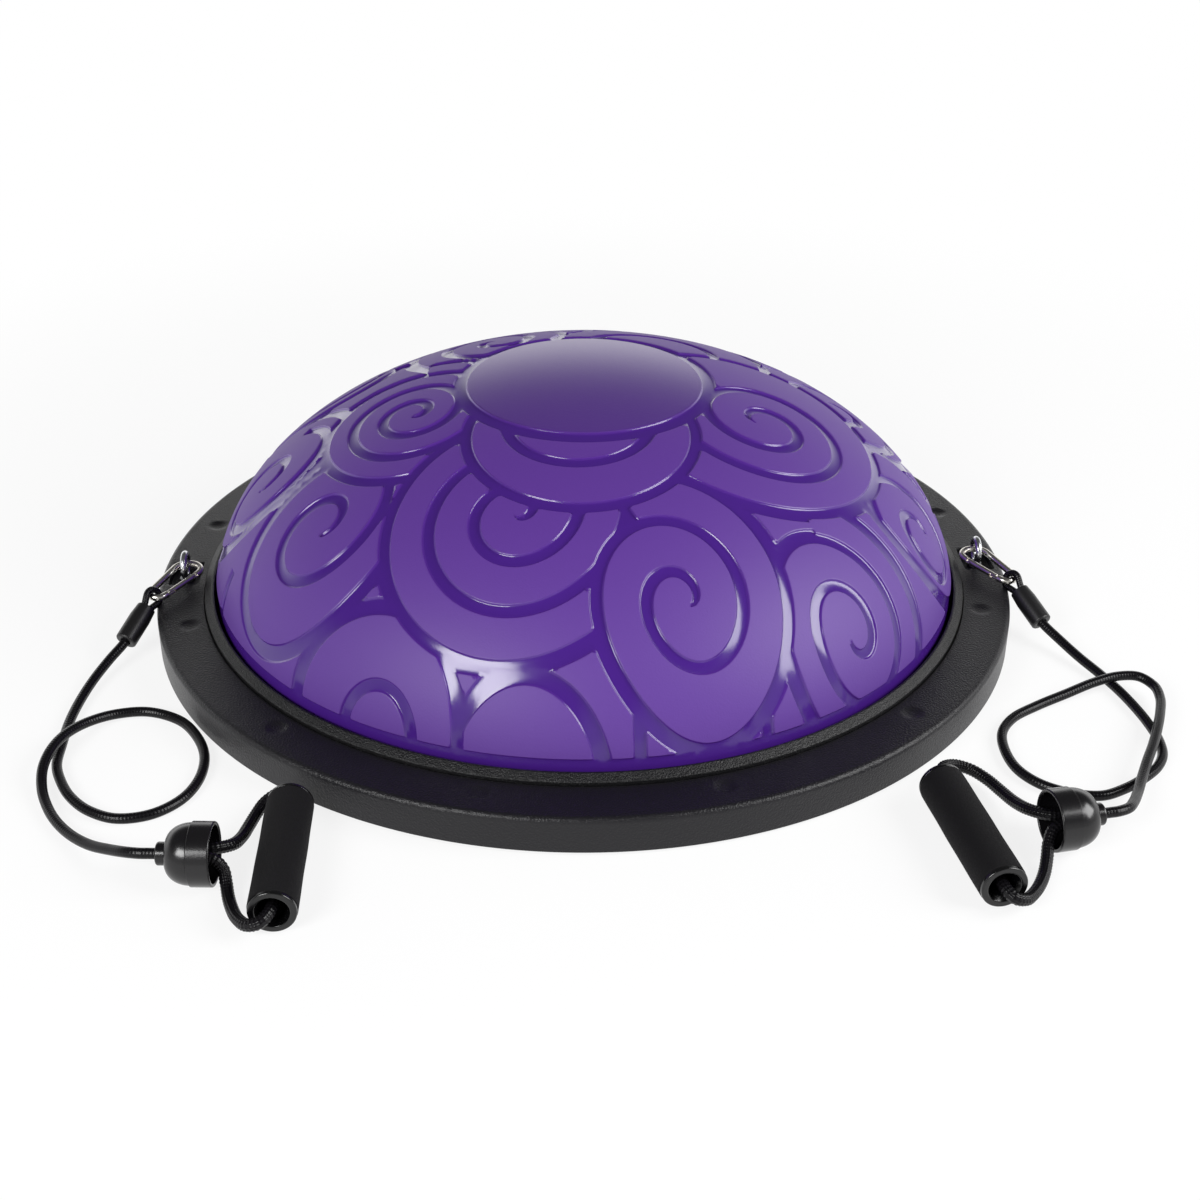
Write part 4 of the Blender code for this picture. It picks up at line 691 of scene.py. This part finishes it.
# Plated wire mirrors the white room; nickel is a little warmer than zinc.
zinc = plated("bright_zinc_plated_steel", "#CDCFD2", 0.26)
nickel = plated("bright_nickel_plated_steel", "#D8D4CD", 0.24)
plain_nodes = {"base_plate": base_plastic, "valve_seat": foot_rubber, "valve_plug": foot_rubber,
               "centre_pad": foot_rubber,
               "left_eye_washer": zinc, "left_eye_nut": zinc, "right_eye_washer": zinc, "right_eye_nut": zinc}
for node, material in plain_nodes.items():
    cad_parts[node].data.materials[0] = material
print("made", len([m for m in bpy.data.materials if m.users]), "materials")

# %% [markdown]
# ## Turned shapes
# Rings, sleeves, bells and caps are round, so each is a profile turned about an axis. A moulded edge is never
# perfectly sharp: each corner of a profile carries the radius of its rounding. A point just beside every rounding
# keeps the flat faces flat to the eye.

# %% Profiles and turning
def rounded(corners, steps=6):
    """A closed profile of (radius, height, rounding) corners, as a list of points."""
    profile = []
    for i, (r, z, size) in enumerate(corners):
        here = np.array((r, z))
        to = [np.array(corners[j % len(corners)][:2]) - here for j in (i - 1, i + 1)]
        length = [np.linalg.norm(v) for v in to]
        u, v = to[0] / length[0], to[1] / length[1]
        half = math.acos(np.clip(u @ v, -1, 1)) / 2
        if size == 0 or half > 1.5:
            profile.append(here)
            continue
        reach = min(size / math.tan(half), 0.4 * min(length))
        centre = here + (u + v) / np.linalg.norm(u + v) * reach / math.cos(half)
        start, stop, sweep_angle = here + u * reach - centre, here + v * reach - centre, math.pi - 2 * half
        profile.append(here + u * reach * 1.2)
        for s in np.linspace(0, sweep_angle, steps + 1):
            profile.append(centre + (math.sin(sweep_angle - s) * start + math.sin(s) * stop) / math.sin(sweep_angle))
        profile.append(here + v * reach * 1.2)
    return np.array(profile)


def turned(profile, segments, origin=(0.0, 0.0, 0.0), up=(0.0, 0.0, 1.0)):
    """Points and faces of a closed profile turned about the axis through origin."""
    angle = 2 * math.pi * np.arange(segments) / segments
    r, z = np.asarray(profile).T
    points = np.stack([np.outer(np.cos(angle), r), np.outer(np.sin(angle), r), np.outer(np.ones(segments), z)], axis=2)
    turn = np.array(Vector(up).to_track_quat("Z", "Y").to_matrix())
    count = len(r)
    faces = [(i * count + j, (i + 1) % segments * count + j, (i + 1) % segments * count + (j + 1) % count,
              i * count + (j + 1) % count) for i in range(segments) for j in range(count)]
    return points.reshape(-1, 3) @ turn.T + np.array(origin), faces


ring = rounded([(251.4, 12.5, 0.3), (260.5, 12.5, 0.3), (260.5, 20.6, 0.4), (258.0, 20.6, 0.3), (258.0, 27.4, 1.2),
                (253.0, 31.0, 1.6), (251.4, 30.2, 0.6)])
piece = make_piece("clamp_ring", *turned(ring, 480), ring_plastic)
hand_over(piece, "base", "charcoal_speckled_plastic", "clamp_ring")

# %% [markdown]
# ## The rim
# The rim is one big moulding with a flat flange and an outer wall. Twelve shallow sink marks show where thick screw
# bosses hide under the flange. The rim is turned like the other round parts, then the sink marks are pressed in. At
# each side a small square pocket holds an eye bolt: its cup is added and its hollow is cut with Boolean modifiers.

# %% Rim
def loft(outline_of, heights):
    """Points and faces of a closed shape between outlines at several heights."""
    rows = [outline_of(z) for z in heights]
    count = len(rows[0])
    faces = [(i * count + j, i * count + (j + 1) % count, (i + 1) * count + (j + 1) % count, (i + 1) * count + j)
             for i in range(len(rows) - 1) for j in range(count)]
    faces += [tuple(reversed(range(count))), tuple(range((len(rows) - 1) * count, len(rows) * count))]
    return np.concatenate(rows), faces


def box_outline(x, y, half_x, half_y, corner, z, steps=6):
    turn = np.linspace(0, math.pi / 2, steps + 1)
    return np.array([(x + sx * (half_x - corner) + corner * math.cos(a + k * math.pi / 2),
                      y + sy * (half_y - corner) + corner * math.sin(a + k * math.pi / 2), z)
                     for k, (sx, sy) in enumerate(((1, 1), (-1, 1), (-1, -1), (1, -1))) for a in turn])


CUT_CREASE = 35.0  # degrees; cut edges stay crisp above it


def joined(*shapes):
    """Points and faces of several shapes as one."""
    points, faces = [], []
    for shape_points, shape_faces in shapes:
        faces += [tuple(i + len(points) for i in face) for face in shape_faces]
        points += list(shape_points)
    return points, faces


def shape_with(piece, tools, operation):
    """Joins or cuts a piece with a list of points-and-faces tools, by one Boolean modifier."""
    tool = make_piece("tool", *joined(*tools), piece.data.materials[0])
    modifier = piece.modifiers.new("shape", "BOOLEAN")
    modifier.operation, modifier.solver, modifier.object = operation, "EXACT", tool
    result = bpy.data.meshes.new_from_object(piece.evaluated_get(bpy.context.evaluated_depsgraph_get()))
    piece.modifiers.remove(modifier)
    piece.data, old = result, piece.data
    bpy.data.meshes.remove(old)
    bpy.data.objects.remove(tool)
    shade_smooth(piece.data, CUT_CREASE)


EYE_X, EYE_Z, EYE_RING = 273.0, 31.4, 7.7  # the eye's middle and the radius of its wire's centre line
RIM_TOP, MARK_RADIUS, MARK_DEPTH, MARK_CIRCLE = 25.0, 7.0, 1.2, 270.0
profile = rounded([(258.3, 21.0, 0.4), (258.3, RIM_TOP, 0.7), *((r, RIM_TOP, 0) for r in np.arange(261.0, 280.0, 1.5)),
                   (289.5, RIM_TOP, 3.5), (289.5, 1.5, 1.0), (285.5, 1.5, 0.4), (285.5, 21.0, 1.0)])
points, faces = turned(profile, 1080)
for k in range(12):
    a = math.radians(15 + 30 * k)
    away = np.hypot(points[:, 0] - MARK_CIRCLE * math.cos(a), points[:, 1] - MARK_CIRCLE * math.sin(a)) / MARK_RADIUS
    pressed = (away < 1) & (points[:, 2] > RIM_TOP - 0.01)
    points[pressed, 2] -= MARK_DEPTH * (1 - away[pressed] ** 3) ** 1.5
rim = make_piece("rim", points, faces, rim_plastic)
cups, hollows = [], []
for sign in SIDES.values():
    cups.append(loft(lambda z: box_outline(sign * EYE_X, 0, 12.4, 18.0, 2.0, z), (17.0, 21.5)))
    flare = {19.5: -0.8, 19.8: -0.2, 20.4: 0.0, 24.3: 0.0, 24.7: 0.15, 25.0: 0.5, 28.0: 0.5}
    hollows.append(loft(lambda z: box_outline(sign * EYE_X, 0, 10.0 + flare[z], 15.5 + flare[z], 1.8, z), list(flare)))
    hollows.append(loft(lambda z: box_outline(sign * EYE_X, 0, 2.6, 2.6, 2.59, z), (15.0, 20.0)))
shape_with(rim, cups, "UNION")
shape_with(rim, hollows, "DIFFERENCE")
hand_over(rim, "base", "charcoal_grained_plastic", "rim")

# %% [markdown]
# ## Eye bolts
# An eye bolt is a bent wire ring on a short collared stem, so it is a swept circle joined to a turned profile.

# %% Eye bolts
for side, sign in SIDES.items():
    a = 2 * math.pi * np.arange(96) / 96
    circle = np.stack([np.full(96, sign * EYE_X), EYE_RING * np.sin(a), EYE_Z + EYE_RING * np.cos(a)], axis=1)
    stem = rounded([(0, 7.8, 0), (2.5, 7.8, 0.5), (2.5, 19.8, 0), (5.0, 19.8, 0.5), (5.0, 21.8, 0.6), (3.0, 21.8, 0.6),
                    (2.6, 24.0, 0), (0, 24.0, 0)])
    eye = make_piece(f"{side}_eye_bolt", *joined(sweep(circle, 2.3, 28, closed=True)[:2],
                                                 turned(stem, 40, (sign * EYE_X, 0, 0))), zinc)
    hand_over(eye, "base", "zinc_plated_steel", f"{side}_eye_bolt")

# %% [markdown]
# ## Snap hooks
# A snap hook is one length of wire, bent wide at the eye and narrow at the cord, with a sprung gate that closes its
# side. Tongue and nose of the hook are pressed flat so that the forked ends of the gate slide over them.

# %% Snap hooks
WIRE, GATE_RADIUS, PIN_AT, NOSE_FLAT = 2.3, 2.0, 4.6, 3.4
WIDE, NARROW, BETWEEN = 9.3, 6.0, 32.0
lean = math.asin((WIDE - NARROW) / BETWEEN)
wide_at, narrow_at = np.array((7.3285, -5.7257)), np.array((39.3285, -5.7257))


def ray(degrees):
    return np.array((math.cos(math.radians(degrees)), math.sin(math.radians(degrees))))


lean_degrees = math.degrees(lean)
gate_from, gate_to = narrow_at + NARROW * ray(-90 + lean_degrees), wide_at + WIDE * ray(270 + lean_degrees)
gate_way = (gate_to - gate_from) / np.linalg.norm(gate_to - gate_from)
gate_length = np.linalg.norm(gate_to - gate_from)


def hook_line():
    """The wire's centre line in the hook's plane, from nose to tongue, and its thinning at each place."""
    nose, shoulder = gate_length - 1.8 - NOSE_FLAT, gate_length - 1.8
    line = [(gate_from + gate_way * g, 0.39) for g in (nose, nose + 0.3, shoulder - 0.02)]
    line += [(gate_from + gate_way * g, 1.0) for g in (shoulder + 0.02, shoulder + 0.5)]
    line += [(wide_at + WIDE * ray(d), 1.0) for d in np.linspace(270 + lean_degrees, 90 - lean_degrees, 49)]
    line += [(narrow_at + NARROW * ray(d), 1.0) for d in np.linspace(90 - lean_degrees, -90 + lean_degrees, 41)]
    line += [(gate_from + gate_way * g, 1.0) for g in (0.6, 1.18)]
    line += [(gate_from + gate_way * g, 0.39) for g in (1.22, 2.0, 6.4, 7.0)]
    return line


HOOKS = {}
for side, sign in SIDES.items():
    origin = np.array((sign * EYE_X, 1.8, EYE_Z))
    axes = np.array(((sign * 0.4491, -0.893, -0.0279), (0.8934, sign * 0.4493, 0.0), (sign * 0.0125, -0.0249, 0.9996)))
    HOOKS[side] = lambda flat, z=0.0, o=origin, m=axes, s=sign: o + flat[0] * m[0] + s * flat[1] * m[1] + z * m[2]
    line = hook_line()
    points, faces, _ = sweep([HOOKS[side](p) for p, _ in line], WIRE, 24, flat=[f for _, f in line])
    body = make_piece(f"{side}_hook_body", points, faces, nickel, crease=40.0)
    hand_over(body, f"{side}_hook", "nickel_plated_steel", f"{side}_hook_body")
    pin_middle = gate_from + gate_way * PIN_AT
    pin = rounded([(0, -2.0, 0), (0.8, -2.0, 0.2), (0.8, 2.0, 0.2), (0, 2.0, 0)], 3)
    piece = make_piece(f"{side}_gate_pin", *turned(pin, 20, HOOKS[side](pin_middle), axes[2]), nickel)
    hand_over(piece, f"{side}_hook", "nickel_plated_steel", f"{side}_gate_pin")
    start, stop = (HOOKS[side](gate_from + gate_way * g) for g in (2.4, PIN_AT + 24.93))
    bar = rounded([(0, 0, 0), (GATE_RADIUS, 0, 0.7), (GATE_RADIUS, np.linalg.norm(stop - start), 0.7),
                   (0, np.linalg.norm(stop - start), 0)], 4)
    gate = make_piece(f"{side}_hook_gate", *turned(bar, 32, start, stop - start), nickel)
    slots = []
    across_gate = np.array((-gate_way[1], gate_way[0]))
    for low, high in ((0.0, 8.2), (26.1, 32.0)):
        corners = [HOOKS[side](gate_from + gate_way * g + across_gate * y, z)
                   for z in (-1.2, 1.2) for g, y in ((low, -4), (high, -4), (high, 4), (low, 4))]
        slots.append((corners, [(0, 3, 2, 1), (4, 5, 6, 7), (0, 1, 5, 4), (1, 2, 6, 5), (2, 3, 7, 6), (3, 0, 4, 7)]))
    shape_with(gate, slots, "DIFFERENCE")
    hand_over(gate, f"{side}_gate", "nickel_plated_steel", f"{side}_hook_gate")

# %% [markdown]
# ## Loops and crimped sleeves
# A short loop of thin cord passes round the narrow end of the hook, and a plastic sleeve squeezes the loop and the
# elastic cord together. The loop bears on the wire from above and below, and leans a little.

# %% Loops and sleeves
LOOP_LEAN = math.radians(-25)
for side, sign in SIDES.items():
    way = np.array(SLEEVE[side][1])
    upright = np.array((0.0, 0.0, 1.0)) - way * way[2]
    upright /= np.linalg.norm(upright)
    upright = upright * math.cos(LOOP_LEAN) + sign * np.cross(way, upright) * math.sin(LOOP_LEAN)
    bend = along(SLEEVE[side], -9.0)
    half = [bend + 5.2 * (math.cos(a) * -way + math.sin(a) * upright) for a in np.radians(np.arange(-100, 101, 20))]
    lower, upper = ([along(SLEEVE[side], t) + s * 2.35 * upright for t in (8.0, 4.0, 0.0)] for s in (-1, 1))
    route, _ = smooth_route([*lower, *half, *reversed(upper)], 0.6)
    points, faces, run = sweep(route, 2.2, 20)
    loop = make_piece(f"{side}_cord_loop", points, faces, cord_cover)
    wind_uv(loop, run, 20, 2.2)
    hand_over(loop, f"{side}_hook", "black_woven_cord_cover", f"{side}_cord_loop")
    sleeve = rounded([(4.85, 0.0, 0.5), (6.2, 0.0, 1.0), (7.0, 9.0, 4.0), (7.0, 28.0, 1.4), (3.4, 28.0, 0.5),
                      (3.4, 10.0, 0), (4.85, 10.0, 0)])
    piece = make_piece(f"{side}_sleeve", *turned(sleeve, 56, *SLEEVE[side]), sleeve_plastic)
    hand_over(piece, f"{side}_hook", "matt_black_sleeve_plastic", f"{side}_sleeve")

# %% [markdown]
# ## Bells
# A plastic bell covers the joint between the elastic cord and the handle cord. It slides a little on the cord. Its
# outline is a narrow neck, a quarter of an ellipse and a short skirt that stands out by a fraction of a millimetre.

# %% Bells and stops
def ellipse_run(r0, r1, t0, t1, count):
    return [(r0 + (r1 - r0) * math.sqrt(max(1 - ((t1 - t) / (t1 - t0)) ** 2, 0)), t, 0)
            for t in t1 - (t1 - t0) * np.cos(np.linspace(0, math.pi / 2, count))]


outside = [(3.7, 0.0, 0.5), (6.5, 0.0, 1.3), (6.5, 5.4, 0.5), *ellipse_run(7.5, 17.2, 5.5, 19.0, 16),
           (18.0, 19.6, 0.3), (18.0, 31.7, 0.9), (16.0, 31.7, 0.7)]
inside = [(3.7, 7.5, 0), *ellipse_run(5.7, 16.0, 7.5, 19.5, 12)]
for side in SIDES:
    piece = make_piece(f"{side}_bell", *turned(rounded(outside + inside[::-1], 5), 96, *BELL[side]), bell_plastic)
    hand_over(piece, f"{side}_bell", "satin_black_bell_plastic", f"{side}_bell")
    stop = rounded([(0, 8.3, 0), (7.5, 8.3, 1.0), (7.5, 17.3, 1.0), (0, 17.3, 0)])
    piece = make_piece(f"{side}_cord_stop", *turned(stop, 48, *BELL[side]), sleeve_plastic)
    hand_over(piece, "base", "matt_black_sleeve_plastic", f"{side}_cord_stop")

# %% [markdown]
# ## Handles
# A handle is a plastic tube inside a sleeve of foam, closed at both ends by a cap with a rolled lip, through which the
# cord passes. The foam is extruded and cut, so it has a soft edge and is not perfectly straight: a slow noise moves its
# surface by a few tenths of a millimetre.

# %% Handles
HANDLE = {"left": ((-177.5, -299.3, 14.0), (0.0, -1.0, 0.0)), "right": ((204.5, -295.5, 14.0), (0.149, -0.989, 0.0))}
TUBE_HALF, GRIP_HALF, HANDLE_HALF = 46.2, 46.4, 49.0
for side in SIDES:
    tube = rounded([(9.0, -TUBE_HALF, 0), (10.5, -TUBE_HALF, 0), (10.5, TUBE_HALF, 0), (9.0, TUBE_HALF, 0)])
    piece = make_piece(f"{side}_handle_tube", *turned(tube, 64, *HANDLE[side]), tube_plastic)
    hand_over(piece, f"{side}_handle", "gloss_black_tube_plastic", f"{side}_handle_tube")
    foam = rounded([(10.8, -GRIP_HALF, 0.3), (13.6, -GRIP_HALF, 1.6),
                    *((13.6, t, 0) for t in np.arange(-42.0, 43.0, 1.5)),
                    (13.6, GRIP_HALF, 1.6), (10.8, GRIP_HALF, 0.3)])
    points, faces = turned(foam, 96, *HANDLE[side])
    offset = points - np.array(HANDLE[side][0])
    offset -= np.outer(offset @ np.array(HANDLE[side][1]), HANDLE[side][1])
    reach = np.linalg.norm(offset, axis=1)
    wave = np.sin(points @ (0.11, 0.09, 0.13)) + np.sin(points @ (-0.07, 0.17, 0.1) + 1.3)
    points = points + offset * (np.where(reach > 12.5, 0.06 * wave - 0.06, 0.0) / reach)[:, None]
    grip = make_piece(f"{side}_foam_grip", points, faces, grip_foam)
    hand_over(grip, f"{side}_handle", "black_grip_foam", f"{side}_foam_grip")
    for end, direction in (("far", -1), ("near", 1)):
        cap = rounded([(7.7, HANDLE_HALF - 3.5, 1.5), (9.6, HANDLE_HALF, 1.1), (13.2, HANDLE_HALF, 1.2),
                       (13.2, HANDLE_HALF - 2.5, 0.3), (8.7, HANDLE_HALF - 2.5, 0),
                       (8.7, HANDLE_HALF - 8.5, 0.3), (7.7, HANDLE_HALF - 8.5, 0.3)])
        axis = np.array(HANDLE[side][1]) * direction
        piece = make_piece(f"{side}_{end}_end_cap", *turned(cap, 72, HANDLE[side][0], axis), tube_plastic)
        hand_over(piece, f"{side}_handle", "gloss_black_tube_plastic", f"{side}_{end}_end_cap")

# %% [markdown]
# ## Under the base
# Twelve screws and six rubber feet stand in circles under the base. What repeats is best repeated by Geometry Nodes: a
# small tree places copies of one part round a circle, and its inputs say how many, how far out and from which angle.

# %% Circle of parts
def circle_tree():
    tree = bpy.data.node_groups.new("circle_of_parts", "GeometryNodeTree")
    for name, kind in (("Part", "NodeSocketObject"), ("Count", "NodeSocketInt"), ("Radius", "NodeSocketFloat"),
                       ("First Angle", "NodeSocketFloat"), ("Material", "NodeSocketMaterial")):
        tree.interface.new_socket(name, in_out="INPUT", socket_type=kind)
    tree.interface.new_socket("Geometry", in_out="OUTPUT", socket_type="NodeSocketGeometry")
    given = add(tree, "NodeGroupInput")
    circle = add(tree, "GeometryNodeMeshCircle", {"Vertices": given.outputs["Count"],
                                                    "Radius": given.outputs["Radius"]})
    turn = add(tree, "ShaderNodeCombineXYZ", {"Z": given.outputs["First Angle"]})
    turned_circle = add(tree, "GeometryNodeTransform", {"Geometry": circle.outputs[0], "Rotation": turn.outputs[0]})
    part = add(tree, "GeometryNodeObjectInfo", {"Object": given.outputs["Part"], "As Instance": True})
    copies = add(tree, "GeometryNodeInstanceOnPoints", {"Points": turned_circle.outputs[0],
                                                        "Instance": part.outputs["Geometry"]})
    real = add(tree, "GeometryNodeRealizeInstances", {0: copies.outputs[0]})
    finish = add(tree, "GeometryNodeSetMaterial", {"Geometry": real.outputs[0], "Material": given.outputs["Material"]})
    add(tree, "NodeGroupOutput", {"Geometry": finish.outputs[0]})
    return tree


CIRCLE = circle_tree()


def in_circle(name, part, count, radius, first, material):
    holder = bpy.data.objects.new("holder", bpy.data.meshes.new("holder"))
    bpy.context.scene.collection.objects.link(holder)
    modifier = holder.modifiers.new("circle", "NODES")
    modifier.node_group = CIRCLE
    values = {"Part": part, "Count": count, "Radius": radius * MM, "First Angle": math.radians(first),
              "Material": material}
    for item in CIRCLE.interface.items_tree:
        if item.in_out == "INPUT":
            modifier[item.identifier] = values[item.name]
    holder.update_tag()
    mesh = bpy.data.meshes.new_from_object(holder.evaluated_get(bpy.context.evaluated_depsgraph_get()))
    mesh.name = name
    shade_smooth(mesh, CUT_CREASE)
    piece = bpy.data.objects.new(f"fine_{name}", mesh)
    bpy.context.scene.collection.objects.link(piece)
    bpy.data.objects.remove(holder)
    bpy.data.objects.remove(part)
    return piece


head = rounded([(0, 0.9, 0), (2.6, 0.9, 0), (4.0, 1.8, 0.4), (4.0, 2.7, 0.2), (1.6, 2.7, 0), (1.6, 9.0, 0),
                (0, 9.0, 0)], 4)
screw = make_piece("screw", *turned(head, 40), zinc)
for x, y in ((2.2, 0.45), (0.45, 2.2)):
    shape_with(screw, [loft(lambda z: box_outline(0, 0, x, y, 0.2, z, 2), (0.0, 2.0))], "DIFFERENCE")
piece = in_circle("base_screws", screw, 12, MARK_CIRCLE, 15, zinc)
hand_over(piece, "base", "zinc_plated_steel", *(f"base_screw_{k}" for k in range(1, 13)))
treads = [(r + d, z, 0.25) for r in (4.0, 8.0, 12.0) for d, z in ((-1.0, 0.0), (-0.7, 0.8), (0.7, 0.8), (1.0, 0.0))]
sole = rounded([(0, 3.0, 0), (0, 0.0, 0), *treads, (16.0, 0.0, 0.8), (16.0, 3.0, 0)], 3)
foot = make_piece("foot", *turned(sole, 64), foot_rubber)
piece = in_circle("feet", foot, 6, 235.0, 30, foot_rubber)
hand_over(piece, "base", "black_foot_rubber", *(f"foot_{k}" for k in range(1, 7)))
